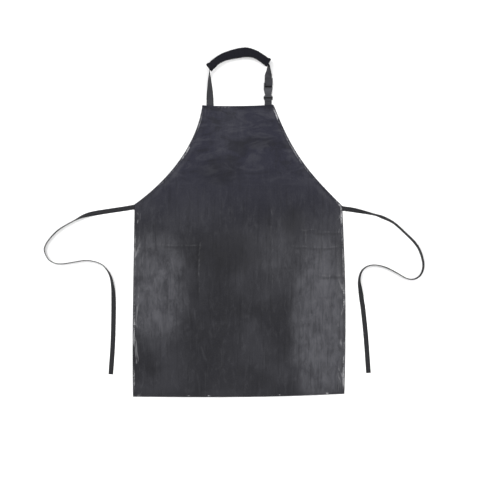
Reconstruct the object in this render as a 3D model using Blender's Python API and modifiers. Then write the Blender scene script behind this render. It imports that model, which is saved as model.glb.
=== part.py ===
"""A bib apron with a lead-vinyl shield, lying flat with its front face up.

Metres, +Z up. +Y runs from the hem to the neck, +X to the right of the front
face, and z = 0 is the surface that it lies on. The origin is under the middle
of the apron with its neck loop, ties left out.
"""

import math

import bmesh
import bpy
from mathutils import Matrix, Vector

GAP = 0.0003

# Stack of the body, from the surface up
BINDING_WALL = 0.0005
BINDING_WIDTH = 0.007
LINING = 0.0004
SHIELD_PLY = 0.0006
COVER = 0.0005
LINING_Z = BINDING_WALL + GAP
SHIELD_Z = LINING_Z + LINING + GAP
COVER_Z = SHIELD_Z + 2 * (SHIELD_PLY + GAP)
BODY_TOP = COVER_Z + COVER
EDGE_TOP = BODY_TOP + GAP + BINDING_WALL
SEAM_Z = (LINING_Z + LINING + COVER_Z) / 2

# Outline of the body, measured from the middle of the bib's top edge
BIB_Y = 0.3990
CORNERS = {
    "bib_left": (-0.1245, -0.0005),
    "bib_right": (0.1166, 0.0013),
    "waist_right": (0.3491, -0.3417),
    "hem_right": (0.3566, -0.9786),
    "hem_left": (-0.3593, -0.9884),
    "waist_left": (-0.3542, -0.3367),
}
# Each edge runs clockwise between two corners, bent by two Bezier handles
EDGES = {
    "top": ("bib_left", (-0.085, -0.0056), (0.0532, -0.0045), "bib_right"),
    "right_armhole": ("bib_right", (0.1814, -0.1699), (0.2405, -0.2343), "waist_right"),
    "right_side": ("waist_right", (0.3593, -0.5635), (0.3648, -0.6813), "hem_right"),
    "bottom": ("hem_right", (0.1026, -0.9926), (-0.1146, -0.9909), "hem_left"),
    "left_side": ("hem_left", (-0.3639, -0.7743), (-0.3569, -0.5509), "waist_left"),
    "left_armhole": ("waist_left", (-0.2651, -0.2741), (-0.1448, -0.1546), "bib_left"),
}
EDGE_STEPS = 18
SHIELD_INSET = 0.014

# Neck webbing, sewn ends and folds at the bib's top edge
WEB_WIDTH = 0.024
WEB = 0.0012
SEWN_DEPTH = 0.025
STRAP_X = -0.0986
BUCKLE_X = 0.0984
LOOP_FOLD = 0.005

# Waist ties: 15 mm tape
TIE_WIDTH = 0.016
TIE = 0.001
TIE_FOLD = 0.005
TIE_SEWN_DEPTH = 0.02
TIE_DROP = 0.009
TIE_POINTS = 78

# Neck pad: a sleeve standing around the webbing, which stands on its edge in it
PAD_HALF_WIDTH = 0.014
PAD_HALF_HEIGHT = 0.0150
PAD_CORNER = 0.0075
PAD_COVER = 0.0006
PAD_FOAM = 0.0016
CUFF = 0.0008
CUFF_LENGTH = 0.009
PAD_Z = PAD_HALF_HEIGHT + GAP + CUFF
PAD_LINE = [
    (-0.1028, 0.1241), (-0.0788, 0.1428), (-0.0546, 0.1576), (-0.0284, 0.1663),
    (-0.0016, 0.1721), (0.0258, 0.1753), (0.0524, 0.1691), (0.0767, 0.1553),
    (0.1003, 0.1407),
]

# Side-release buckle for 20 mm webbing. Lengths run up from the bib's top edge.
BUCKLE_THICK = 0.008
BUCKLE_Z = BUCKLE_THICK / 2
BUCKLE_HALF = 0.0150
SLOT_HALF = 0.0124
WEB_BAR = (0.016, 0.0195)
WEB_SLOT_END = 0.0232
MOUTH = 0.0547
CAVITY_END = 0.0345
CAVITY_HALF_HEIGHT = 0.0024
WINDOW = (0.038, 0.048)
SOCKET_HALF = [
    (0.0105, 0.016), (0.0142, 0.0168), (0.0154, 0.0192), (0.0154, 0.0272),
    (0.0140, 0.0298), (0.0110, 0.0320), (0.0104, 0.0345), (0.0114, 0.0375),
    (0.0128, 0.0415), (0.0139, 0.0475), (0.0150, MOUTH),
]
SOCKET_WALL = 0.0018
FLANGE = (0.055, 0.058)
SLOT_NEAR = (0.0600, 0.0622)
SLOT_FAR = (0.065, 0.0715)
LADDER_END = 0.075
LADDER_HALF = 0.0146
LADDER_Z = (0.0015, 0.0065)
MIDDLE_BAR_Z = (0.0028, 0.0054)
TONGUE_HALF = 0.0025
TONGUE_END = 0.040
ARM_PIVOT = (0.0110, 0.0533)
ARM_HALF_HEIGHT = 0.002
# One latch arm in plan, right-hand side, anticlockwise from its root
ARM = [
    (0.0122, 0.0540), (0.0116, 0.0545), (0.0104, 0.0545), (0.0098, 0.0540),
    (0.0094, 0.0475), (0.0088, 0.0420), (0.0072, 0.0376), (0.0078, 0.0366),
    (0.0090, 0.0374), (0.0118, 0.0395), (0.0130, 0.0420), (0.0132, 0.0450),
    (0.0128, 0.0473), (0.0117, 0.0474),
]
# Grooves across the top of each half: along it, and the height of their floor
SOCKET_GROOVE = (0.0222, 0.0262, 0.0054)
PLUG_GROOVE = (0.0583, 0.0606, 0.0044)
TAIL_SHIFT = 0.0034
TAIL_START = 0.0669
TAIL_END = 0.0895

# Paths of webbing seen from the side, as distance up from the bib and height
TAB_PATH = [
    (0.0053, 0.00225), (0.0085, 0.0017), (0.0120, 0.0015), (0.0192, 0.0015),
    (0.0212, 0.0020), (0.0221, 0.0033), (0.0221, 0.0047), (0.0212, 0.0060),
    (0.0192, 0.0065), (0.0150, 0.0065), (0.0125, 0.0054), (0.0105, 0.0040),
    (0.0088, 0.0034), (0.0069, 0.0034),
]
ADJUSTER_PATH = [
    (0.0763, 0.0074), (0.0712, 0.0074), (0.0696, 0.0069), (0.0684, 0.0056),
    (0.0672, 0.0032), (0.0662, 0.0020), (0.0648, 0.0015), (0.0630, 0.0015),
    (0.0617, 0.0020), (0.0611, 0.0034), (0.0612, 0.0050), (0.0619, 0.0063),
    (0.0632, 0.0070), (0.0648, 0.0081), (0.0666, 0.0089),
]

# Routes: x, distance up from the bib, height of the middle, roll in degrees.
# Roll 0 lies flat and roll 90 stands on its edge.
STRAP_ROUTE = [
    (STRAP_X, 0.0053, 0.00225, 0), (-0.0987, 0.018, 0.0023, 6),
    (-0.0989, 0.034, 0.0056, 23), (-0.0992, 0.055, 0.0090, 43),
    (-0.0997, 0.077, 0.0112, 60), (-0.1000, 0.095, 0.0129, 74),
    (-0.1001, 0.109, 0.0153, 85), (-0.1001, 0.1190, PAD_Z, 90),
]
INNER_ROUTE = [
    (-0.1000, 0.1203, PAD_Z, 90), (-0.0975, 0.1287, PAD_Z, 90),
    (-0.0890, 0.1357, PAD_Z, 90), (-0.0783, 0.1431, PAD_Z, 90),
    (-0.0546, 0.1576, PAD_Z, 90), (-0.0284, 0.1663, PAD_Z, 90),
    (-0.0016, 0.1721, PAD_Z, 90), (0.0258, 0.1753, PAD_Z, 90),
    (0.0524, 0.1691, PAD_Z, 90), (0.0767, 0.1553, PAD_Z, 90),
    (0.0860, 0.1494, PAD_Z, 90),
]
RIGHT_ROUTE = [
    (0.0867, 0.1489, PAD_Z, 90), (0.0930, 0.1442, PAD_Z, 88),
    (0.0978, 0.1375, 0.0158, 82), (0.1000, 0.1300, 0.0150, 72),
    (0.1002, 0.1210, 0.0128, 60), (0.1001, 0.1120, 0.0106, 46),
    (0.0995, 0.1040, 0.0085, 24), (0.0989, 0.0980, 0.0074, 2),
    (0.0985, 0.0900, 0.0074, 0), (BUCKLE_X, 0.0766, 0.0074, 0),
]
# Waist ties: x, y from the bib's top edge and roll, from the fold outwards
LEFT_TIE = [
    (-0.35942, -0.34660, 0), (-0.3860, -0.3512, 0), (-0.4400, -0.3593, 0),
    (-0.4939, -0.3680, 8), (-0.5270, -0.3770, 45), (-0.5599, -0.3928, 75),
    (-0.6099, -0.4223, 72), (-0.6418, -0.4543, 72), (-0.6578, -0.4815, 73),
    (-0.6578, -0.4995, 74), (-0.6463, -0.5223, 77), (-0.6238, -0.5362, 79),
    (-0.5963, -0.5383, 82), (-0.5599, -0.5328, 82), (-0.5235, -0.5271, 82),
    (-0.4963, -0.5291, 81), (-0.4688, -0.5383, 79), (-0.4508, -0.5543, 74),
    (-0.4368, -0.5770, 60), (-0.4287, -0.6090, 44), (-0.4256, -0.6498, 18),
    (-0.4256, -0.7181, 0), (-0.4280, -0.8093, 0), (-0.4348, -0.9130, 0),
]
RIGHT_TIE = [
    (0.35435, -0.35145, 0), (0.3820, -0.3552, 8), (0.4137, -0.3615, 40),
    (0.4592, -0.3720, 68), (0.4864, -0.3812, 54), (0.5228, -0.3995, 66),
    (0.5592, -0.4315, 68), (0.5956, -0.4679, 66), (0.6139, -0.4995, 68),
    (0.6238, -0.5406, 71), (0.6163, -0.5726, 75), (0.5956, -0.5890, 79),
    (0.5684, -0.5880, 80), (0.5320, -0.5678, 77), (0.4956, -0.5498, 77),
    (0.4592, -0.5420, 82), (0.4317, -0.5480, 80), (0.4137, -0.5658, 74),
    (0.4069, -0.5954, 60), (0.4113, -0.6317, 28), (0.4160, -0.6640, 0),
    (0.4205, -0.6953, 0), (0.4297, -0.7864, 0), (0.4385, -0.9085, 0),
]

STITCH = 0.0004
STITCH_LINE = 0.0009

for leftover in list(bpy.data.objects):
    bpy.data.objects.remove(leftover)


def new_collection(name):
    made = bpy.data.collections.new(name)
    bpy.context.scene.collection.children.link(made)
    return made


apron = new_collection("lead_apron")
guides = new_collection("cutters_and_guides")
finishes = {}


def finish(name, colour, roughness):
    made = bpy.data.materials.new(name)
    made.use_nodes = True
    shader = made.node_tree.nodes["Principled BSDF"]
    shader.inputs["Base Color"].default_value = (*colour, 1)
    shader.inputs["Roughness"].default_value = roughness
    made.diffuse_color = (*colour, 1)
    finishes[name] = made


def placed(obj, finish_name, parent=None):
    """Puts obj in the apron's collection with a material, under the pivot that it moves with."""
    apron.objects.link(obj)
    obj.data.materials.append(finishes[finish_name].copy())
    obj.active_material.name = obj.name
    if parent is not None:
        obj.parent = parent
        obj.matrix_parent_inverse = parent.matrix_world.inverted()
    return obj


def guide(obj):
    guides.objects.link(obj)
    obj.hide_render = True
    obj.display_type = "WIRE"
    return obj


def pivot(name, place, parent=None):
    """An empty on a joint's axis."""
    made = bpy.data.objects.new(name, None)
    apron.objects.link(made)
    made.location = place
    if parent is not None:
        made.parent = parent
        made.matrix_parent_inverse = parent.matrix_world.inverted()
    bpy.context.view_layer.update()
    return made


def bezier(start, handle_a, handle_b, end, steps):
    """Points along one cubic Bezier, both ends included."""
    ends = [Vector(p) for p in (start, handle_a, handle_b, end)]
    points = []
    for i in range(steps + 1):
        t = i / steps
        weights = ((1 - t) ** 3, 3 * t * (1 - t) ** 2, 3 * t**2 * (1 - t), t**3)
        points.append(sum((w * p for w, p in zip(weights, ends)), Vector((0, 0))))
    return points


def edge_points(name):
    start, handle_a, handle_b, end = EDGES[name]
    points = bezier(CORNERS[start], handle_a, handle_b, CORNERS[end], EDGE_STEPS)
    return [p + Vector((0, BIB_Y)) for p in points]


def outline():
    """The body's outline, clockwise."""
    points = []
    for name in EDGES:
        points += edge_points(name)[:-1]
    return points


def inset(points, distance):
    """A clockwise outline moved inwards by distance, with mitred corners."""
    moved = []
    for i, point in enumerate(points):
        before = (point - points[i - 1]).normalized()
        after = (points[(i + 1) % len(points)] - point).normalized()
        across = (before + after).normalized()
        inwards = Vector((across.y, -across.x))
        moved.append(point + inwards * distance / max(0.3, across.dot(before)))
    return moved


def trimmed(points, start, end):
    """An open line with a length cut off each end."""
    line = points
    for cut in (start, end):
        line = line[::-1]
        while cut > (line[-1] - line[-2]).length:
            cut -= (line[-1] - line[-2]).length
            line = line[:-1]
        line = line[:-1] + [line[-1].lerp(line[-2], cut / (line[-1] - line[-2]).length)]
    return line


def smooth(route, count):
    """Points at even steps along a Catmull-Rom curve through a route of tuples."""
    nodes = [Vector(p) for p in route]
    nodes = [2 * nodes[0] - nodes[1], *nodes, 2 * nodes[-1] - nodes[-2]]
    fine = []
    for a, b, c, d in zip(nodes, nodes[1:], nodes[2:], nodes[3:]):
        for k in range(16):
            t = k / 16
            cubic = (3 * b - 3 * c + d - a) * t**3
            fine.append((2 * b + (c - a) * t + (2 * a - 5 * b + 4 * c - d) * t**2 + cubic) / 2)
    fine.append(nodes[-2])
    runs = [0]
    for p, q in zip(fine, fine[1:]):
        runs.append(runs[-1] + (q.xyz - p.xyz).length)
    points, k = [], 0
    for i in range(count):
        target = runs[-1] * i / (count - 1)
        while k < len(runs) - 2 and runs[k + 1] < target:
            k += 1
        share = (target - runs[k]) / (runs[k + 1] - runs[k])
        points.append(fine[k].lerp(fine[k + 1], min(1, share)))
    return points


def from_bib(route):
    """A route of (x, up from the bib, height, roll) with y in the apron's own frame."""
    return [(x, BIB_Y + up, z, math.radians(roll)) for x, up, z, roll in route]


def tie_line(points):
    """A waist tie's line: it comes down from the seam and lies on its lower edge."""
    line = smooth([(x, BIB_Y + y, SEAM_Z, math.radians(roll)) for x, y, roll in points], TIE_POINTS)
    for i, knot in enumerate(line):
        knot.w = max(0, knot.w)
        resting = (TIE_WIDTH * math.sin(knot.w) + TIE * math.cos(knot.w)) / 2
        knot.z = max(resting, SEAM_Z - 0.0006 * i)
    return line


def flat(name, loops, low, high):
    """A flat outline, with any holes as further loops, filled between two heights."""
    shape = bpy.data.curves.new(name, "CURVE")
    shape.dimensions = "2D"
    shape.fill_mode = "BOTH"
    shape.extrude = (high - low) / 2
    for loop in loops:
        line = shape.splines.new("POLY")
        line.points.add(len(loop) - 1)
        line.use_cyclic_u = True
        for knot, p in zip(line.points, loop):
            knot.co = (p[0], p[1], 0, 1)
    made = bpy.data.objects.new(name, shape)
    made.location.z = (low + high) / 2
    return made


def side_view(name, loop, x, width):
    """An outline in the YZ plane, extruded along X about x."""
    made = flat(name, [loop], -width / 2, width / 2)
    made.matrix_world = Matrix.Translation((x, 0, 0)) @ Matrix(
        ((0, 0, 1, 0), (1, 0, 0, 0), (0, 1, 0, 0), (0, 0, 0, 1))
    )
    return made


def strip_outline(path, thickness):
    """The outline of a strip of webbing seen from the side, from the line along its middle."""
    line = [Vector(p) for p in path]
    sides = ([], [])
    for i, point in enumerate(line):
        before = (point - line[max(i - 1, 0)]).normalized()
        after = (line[min(i + 1, len(line) - 1)] - point).normalized()
        along = (before + after).normalized()
        reach = thickness / 2 / along.dot(before if i else after)
        across = Vector((-along.y, along.x)) * reach
        sides[0].append(point + across)
        sides[1].append(point - across)
    return sides[0] + sides[1][::-1]


def profile(name, points):
    """A closed section for a sweep: its X runs to the right of travel and its Y up."""
    shape = bpy.data.curves.new(name, "CURVE")
    shape.dimensions = "2D"
    line = shape.splines.new("POLY")
    line.points.add(len(points) - 1)
    line.use_cyclic_u = True
    for knot, (x, y) in zip(line.points, points):
        knot.co = (x, y, 0, 1)
    return guide(bpy.data.objects.new(name, shape))


def tape_section(name, width, thickness):
    x, y = width / 2, thickness / 2
    return profile(name, [(-x, y), (x, y), (x, -y), (-x, -y)])


def sweep(name, points, section, capped=True):
    """A section swept along points of (x, y, z) or (x, y, z, roll)."""
    shape = bpy.data.curves.new(name, "CURVE")
    shape.dimensions = "3D"
    shape.twist_mode = "Z_UP"
    shape.bevel_mode = "OBJECT"
    shape.bevel_object = section
    shape.use_fill_caps = capped
    line = shape.splines.new("POLY")
    line.points.add(len(points) - 1)
    for knot, p in zip(line.points, points):
        knot.co = (p[0], p[1], p[2], 1)
        knot.tilt = p[3] if len(p) > 3 else 0
    return bpy.data.objects.new(name, shape)


def as_mesh(obj):
    """The same piece as a welded mesh, ready for Booleans."""
    guides.objects.link(obj)
    bpy.context.view_layer.update()
    depsgraph = bpy.context.evaluated_depsgraph_get()
    mesh = bpy.data.meshes.new_from_object(obj.evaluated_get(depsgraph))
    mesh.materials.clear()
    work = bmesh.new()
    work.from_mesh(mesh)
    bmesh.ops.remove_doubles(work, verts=work.verts, dist=1e-6)
    bmesh.ops.recalc_face_normals(work, faces=work.faces)
    work.to_mesh(mesh)
    work.free()
    name, place, data = obj.name, obj.matrix_world.copy(), obj.data
    bpy.data.objects.remove(obj)
    bpy.data.curves.remove(data)
    mesh.name = name
    made = bpy.data.objects.new(name, mesh)
    made.matrix_world = place
    return made


def box(name, low, high):
    """A box between two corners."""
    mesh = bpy.data.meshes.new(name)
    work = bmesh.new()
    bmesh.ops.create_cube(work, size=1)
    size = [b - a for a, b in zip(low, high)]
    middle = [(a + b) / 2 for a, b in zip(low, high)]
    bmesh.ops.transform(
        work, matrix=Matrix.Translation(middle) @ Matrix.Diagonal((*size, 1)), verts=work.verts
    )
    work.to_mesh(mesh)
    work.free()
    return bpy.data.objects.new(name, mesh)


def boolean(obj, other, operation="DIFFERENCE"):
    step = obj.modifiers.new(other.name, "BOOLEAN")
    step.operation = operation
    step.object = guide(other)


def round_edges(obj, width, segments=2):
    step = obj.modifiers.new("round_edges", "BEVEL")
    step.width = width
    step.segments = segments
    step.limit_method = "ANGLE"
    step.angle_limit = math.radians(40)


def turned(obj, place, angle):
    """Turns a piece made about the origin by angle about Z and moves it to place."""
    obj.matrix_world = Matrix.Translation(place) @ Matrix.Rotation(angle, 4, "Z")
    return obj


def make_finishes():
    finish("coated_fabric", (0.048, 0.048, 0.056), 0.42)
    finish("lining_fabric", (0.035, 0.035, 0.038), 0.75)
    finish("lead_vinyl", (0.10, 0.10, 0.10), 0.7)
    finish("webbing", (0.028, 0.028, 0.030), 0.8)
    finish("sleeve_fabric", (0.020, 0.020, 0.022), 0.85)
    finish("foam", (0.05, 0.05, 0.05), 0.95)
    finish("buckle_plastic", (0.060, 0.060, 0.066), 0.45)
    finish("thread", (0.030, 0.030, 0.032), 0.7)


def tie_frame(side):
    """Where a tie leaves the side edge, and the way that it runs there."""
    corner = Vector(CORNERS[f"waist_{side}"]) + Vector((0, BIB_Y - TIE_DROP))
    route = LEFT_TIE if side == "left" else RIGHT_TIE
    away = (Vector(route[0][:2]) + Vector((0, BIB_Y)) - corner).normalized()
    return corner, away


def make_body():
    """The front cover, the two shielding plies and the lining, each inside the bindings."""
    edge = outline()
    sheet_edge = inset(edge, BINDING_WALL + GAP)
    shield_edge = inset(edge, SHIELD_INSET)
    placed(flat("front_cover", [sheet_edge], COVER_Z, COVER_Z + COVER), "coated_fabric")
    placed(flat("back_lining", [sheet_edge], LINING_Z, LINING_Z + LINING), "lining_fabric")
    for i, name in enumerate(("shield_ply_back", "shield_ply_front")):
        low = SHIELD_Z + i * (SHIELD_PLY + GAP)
        ply = as_mesh(flat(name, [shield_edge], low, low + SHIELD_PLY))
        placed(ply, "lead_vinyl")
        for j, pocket in enumerate(sewn_end_pockets()):
            pocket.name = f"{name}_pocket_{j}"
            boolean(ply, pocket)


def sewn_end_pockets():
    """Room in the shield for the sewn ends of the strap, the buckle tab and the two ties."""
    spare = 0.002
    pockets = []
    for x in (STRAP_X, BUCKLE_X):
        half = WEB_WIDTH / 2 + spare
        low = (x - half, BIB_Y - SEWN_DEPTH - spare, 0)
        pockets.append(box("pocket", low, (x + half, BIB_Y + spare, BODY_TOP)))
    for side in ("left", "right"):
        corner, away = tie_frame(side)
        half = TIE_WIDTH / 2 + spare
        pocket = box("pocket", (-TIE_SEWN_DEPTH - spare, -half, 0), (0.02, half, BODY_TOP))
        pockets.append(turned(pocket, (*corner, 0), math.atan2(away.y, away.x)))
    return pockets


def make_bindings():
    """A folded strip round each edge, slotted where webbing or a tie comes out of the seam."""
    wall, wide = BINDING_WALL, BINDING_WIDTH
    section = profile(
        "binding_section",
        [
            (0, 0), (wide, 0), (wide, wall), (wall, wall),
            (wall, EDGE_TOP - wall), (wide, EDGE_TOP - wall), (wide, EDGE_TOP), (0, EDGE_TOP),
        ],
    )
    butt = wide + GAP
    mitre = wide * math.tan(math.radians(28)) + GAP
    trims = {
        "top": (0, 0),
        "right_armhole": (butt, mitre),
        "right_side": (mitre, butt),
        "bottom": (0, 0),
        "left_side": (butt, mitre),
        "left_armhole": (mitre, butt),
    }
    strips = {}
    for name, (start, end) in trims.items():
        line = [(*p, 0) for p in trimmed(edge_points(name), start, end)]
        strips[name] = placed(as_mesh(sweep(f"{name}_binding", line, section)), "coated_fabric")
    for x in (STRAP_X, BUCKLE_X):
        half = WEB_WIDTH / 2 + GAP
        low = (x - half, BIB_Y - 0.004, SEAM_Z - WEB / 2 - GAP)
        slot = box("webbing_slot", low, (x + half, BIB_Y + 0.004, SEAM_Z + WEB / 2 + GAP))
        boolean(strips["top"], slot)
    for side in ("left", "right"):
        corner, away = tie_frame(side)
        half, high = TIE_WIDTH / 2 + GAP, TIE / 2 + GAP
        slot = box(f"{side}_tie_slot", (-0.004, -half, -high), (0.004, half, high))
        turned(slot, (*corner, SEAM_Z), math.atan2(away.y, away.x))
        boolean(strips[f"{side}_side"], slot)


def box_stitch(name, width, length):
    """A rectangle of thread with a cross in it, about the origin."""
    half_w, half_l, line = width / 2, length / 2, STITCH_LINE
    corners = [(-half_w, -half_l), (half_w, -half_l), (half_w, half_l), (-half_w, half_l)]
    loops = [corners]
    inner = [(x - math.copysign(line, x), y - math.copysign(line, y)) for x, y in corners]
    for a, b in zip(inner, inner[1:] + inner[:1]):
        middle = Vector(((a[0] + b[0]) / 2, (a[1] + b[1]) / 2))
        tip = middle.normalized() * line
        reach = (Vector(a) - Vector(b)).normalized() * line
        loops.append([Vector(a) - reach, Vector(b) + reach, tip])
    low = BODY_TOP + GAP
    return flat(name, loops, low, low + STITCH)


def make_seam_ends():
    """The sewn ends of the webbing and ties, and the stitches that hold them."""
    for name, x in (("strap", STRAP_X), ("tab", BUCKLE_X)):
        half = WEB_WIDTH / 2
        low = (x - half, BIB_Y - SEWN_DEPTH, SEAM_Z - WEB / 2)
        end = box(f"{name}_sewn_end", low, (x + half, BIB_Y + LOOP_FOLD, SEAM_Z + WEB / 2))
        placed(end, "webbing")
        stitches = box_stitch(f"{name}_box_stitch", 0.015, 0.013)
        stitches.location.x, stitches.location.y = x, BIB_Y - 0.0165
        placed(stitches, "thread")
    for side in ("left", "right"):
        corner, away = tie_frame(side)
        angle = math.atan2(away.y, away.x)
        half = TIE_WIDTH / 2
        low = (-TIE_SEWN_DEPTH, -half, -TIE / 2)
        end = box(f"{side}_tie_sewn_end", low, (TIE_FOLD, half, TIE / 2))
        placed(turned(end, (*corner, SEAM_Z), angle), "webbing")
        stitches = box_stitch(f"{side}_tie_box_stitch", 0.009, 0.010)
        middle = corner - away * 0.0145
        placed(turned(stitches, (*middle, stitches.location.z), angle), "thread")


def make_waist_ties(section):
    """Each tie runs from its fold outside the side edge to its cut end."""
    for side, points in (("left", LEFT_TIE), ("right", RIGHT_TIE)):
        corner, away = tie_frame(side)
        hinge = pivot(f"{side}_tie_fold", (*(corner + away * TIE_FOLD), SEAM_Z + TIE / 2))
        placed(sweep(f"{side}_waist_tie", tie_line(points), section), "webbing", hinge)


def rounded_section(half_width, half_height, corner):
    """A rectangle with round corners, as points."""
    points = []
    for i in range(4):
        sign_x, sign_y = ((1, 1), (-1, 1), (-1, -1), (1, -1))[i]
        for k in range(5):
            angle = math.radians(90 * i + 22.5 * k)
            x = sign_x * (half_width - corner) + corner * math.cos(angle)
            points.append((x, sign_y * (half_height - corner) + corner * math.sin(angle)))
    return points


def sleeve(name, line, shrink, wall, finish_name, parent):
    """A tube round the pad's line, open at both ends, shrink inside the pad's own surface."""
    section = profile(
        f"{name}_section",
        rounded_section(PAD_HALF_WIDTH - shrink, PAD_HALF_HEIGHT - shrink, PAD_CORNER - shrink),
    )
    tube = as_mesh(sweep(name, line, section, capped=False))
    placed(tube, finish_name, parent)
    shell = tube.modifiers.new("wall", "SOLIDIFY")
    shell.thickness = wall
    shell.offset = -1


def make_neck_pad(parent):
    middle = smooth([(x, BIB_Y + up, PAD_Z, 0) for x, up in PAD_LINE], 29)
    line = [p.xyz for p in middle]
    sleeve("neck_pad_cover", line, 0, PAD_COVER, "sleeve_fabric", parent)
    foam_line = trimmed(line, 0.003, 0.003)
    sleeve("neck_pad_foam", foam_line, PAD_COVER + GAP, PAD_FOAM, "foam", parent)
    length = sum((b - a).length for a, b in zip(line, line[1:]))
    for name, start in (("left_pad_cuff", 0), ("right_pad_cuff", length - CUFF_LENGTH)):
        ring = trimmed(line, start, length - CUFF_LENGTH - start)
        sleeve(name, ring, -GAP - CUFF, CUFF, "sleeve_fabric", parent)


def make_neck_webbing(section, parent):
    """The loop's webbing outside and inside the pad, up to the ladder lock."""
    runs = {
        "left_neck_strap": (STRAP_ROUTE, 22),
        "inner_webbing": (INNER_ROUTE, 30),
        "right_neck_strap": (RIGHT_ROUTE, 16),
    }
    for name, (route, count) in runs.items():
        line = smooth(from_bib(route), count)
        placed(sweep(name, line, section), "webbing", parent)
    loop = strip_outline([(BIB_Y + up, z) for up, z in TAB_PATH], WEB)
    placed(side_view("buckle_tab", loop, BUCKLE_X, WEB_WIDTH), "webbing", parent)


def buckle_plan(half):
    """A symmetric outline of the buckle, from its right half."""
    right = [(BUCKLE_X + x, BIB_Y + y) for x, y in half]
    left = [(BUCKLE_X - x, BIB_Y + y) for x, y in reversed(half)]
    return right + left


def buckle_box(name, half_width, up, heights):
    """A box across the buckle, between two distances from the bib and two heights."""
    low = (BUCKLE_X - half_width, BIB_Y + up[0], heights[0])
    return box(name, low, (BUCKLE_X + half_width, BIB_Y + up[1], heights[1]))


def make_socket(parent):
    socket = as_mesh(flat("buckle_socket", [buckle_plan(SOCKET_HALF)], 0, BUCKLE_THICK))
    placed(socket, "buckle_plastic", parent)
    round_edges(socket, 0.0008)
    inside = [(x - SOCKET_WALL, y) for x, y in SOCKET_HALF if y >= CAVITY_END]
    inside.append((inside[-1][0], MOUTH + 0.002))
    low, high = BUCKLE_Z - CAVITY_HALF_HEIGHT, BUCKLE_Z + CAVITY_HALF_HEIGHT
    boolean(socket, as_mesh(flat("socket_cavity", [buckle_plan(inside)], low, high)))
    boolean(socket, buckle_box("socket_windows", 0.02, WINDOW, (low, high)))
    slot = (WEB_BAR[1], WEB_SLOT_END)
    beyond = (-0.001, BUCKLE_THICK + 0.001)
    boolean(socket, buckle_box("socket_web_slot", SLOT_HALF, slot, beyond))
    bar = (WEB_BAR[0] - 0.002, WEB_BAR[1] + 0.001)
    bar_low, bar_high = BUCKLE_Z - 0.0015, BUCKLE_Z + 0.0015
    boolean(socket, buckle_box("below_web_bar", SLOT_HALF, bar, (-0.001, bar_low)))
    boolean(socket, buckle_box("above_web_bar", SLOT_HALF, bar, (bar_high, BUCKLE_THICK + 0.001)))
    groove = (SOCKET_GROOVE[2], BUCKLE_THICK + 0.002)
    boolean(socket, buckle_box("socket_groove", 0.02, SOCKET_GROOVE[:2], groove))


def make_plug(parent):
    """The inserting half: flange, guide tongue and ladder lock in one moulding."""
    plug = buckle_box("buckle_plug", LADDER_HALF, (FLANGE[1] - 0.001, LADDER_END), LADDER_Z)
    placed(plug, "buckle_plastic", parent)
    boolean(plug, buckle_box("flange", BUCKLE_HALF, FLANGE, (0, BUCKLE_THICK)), "UNION")
    tongue = (TONGUE_END, FLANGE[0] + 0.001)
    heights = (BUCKLE_Z - 0.0017, BUCKLE_Z + 0.0017)
    boolean(plug, buckle_box("guide_tongue", TONGUE_HALF, tongue, heights), "UNION")
    through = (-0.001, BUCKLE_THICK + 0.001)
    for name, slot in (("near_slot", SLOT_NEAR), ("far_slot", SLOT_FAR)):
        boolean(plug, buckle_box(name, SLOT_HALF, slot, through))
    bar = (SLOT_NEAR[1] - 0.001, SLOT_FAR[0] + 0.001)
    half = SLOT_HALF + 0.0008
    boolean(plug, buckle_box("below_bar", half, bar, (through[0], MIDDLE_BAR_Z[0])))
    boolean(plug, buckle_box("above_bar", half, bar, (MIDDLE_BAR_Z[1], through[1])))
    groove = (PLUG_GROOVE[2], LADDER_Z[1] + 0.0008)
    boolean(plug, buckle_box("plug_groove", 0.02, PLUG_GROOVE[:2], groove))
    round_edges(plug, 0.0003)


def make_latch_arms(parent):
    for side, sign in (("left", -1), ("right", 1)):
        place = (BUCKLE_X + sign * ARM_PIVOT[0], BIB_Y + ARM_PIVOT[1], BUCKLE_Z)
        hinge = pivot(f"{side}_latch_pivot", place, parent)
        plan = [(BUCKLE_X + sign * x, BIB_Y + y) for x, y in ARM]
        low, high = BUCKLE_Z - ARM_HALF_HEIGHT, BUCKLE_Z + ARM_HALF_HEIGHT
        arm = as_mesh(flat(f"{side}_latch_arm", [plan], low, high))
        placed(arm, "buckle_plastic", hinge)
        round_edges(arm, 0.0004)


def make_adjuster(parent):
    """The webbing's turn round the ladder lock and its loose tail."""
    loop = strip_outline([(BIB_Y + up, z) for up, z in ADJUSTER_PATH], WEB)
    placed(side_view("adjuster_webbing", loop, BUCKLE_X, WEB_WIDTH), "webbing", parent)
    z = ADJUSTER_PATH[-1][1]
    hinge = pivot("tail_root", (BUCKLE_X, BIB_Y + TAIL_START, z + WEB / 2), parent)
    half = WEB_WIDTH / 2
    corner_x = BUCKLE_X + TAIL_SHIFT
    low = (corner_x - half, BIB_Y + TAIL_START, z - WEB / 2)
    tail = box("strap_tail", low, (corner_x + half, BIB_Y + TAIL_END, z + WEB / 2))
    placed(tail, "webbing", hinge)


make_finishes()
make_body()
make_bindings()
make_seam_ends()

make_waist_ties(tape_section("tie_section", TIE_WIDTH, TIE))

neck_loop = pivot("neck_loop_fold", (0, BIB_Y + LOOP_FOLD, SEAM_Z + WEB / 2))
make_neck_webbing(tape_section("webbing_section", WEB_WIDTH, WEB), neck_loop)
make_neck_pad(neck_loop)
make_socket(neck_loop)

plug_slide = pivot("buckle_plug_slide", (BUCKLE_X, BIB_Y + FLANGE[0], BUCKLE_Z), neck_loop)
make_plug(plug_slide)
make_latch_arms(plug_slide)
make_adjuster(plug_slide)
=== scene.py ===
import math

import bpy
import numpy as np
from mathutils import Matrix, Vector, noise


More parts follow.
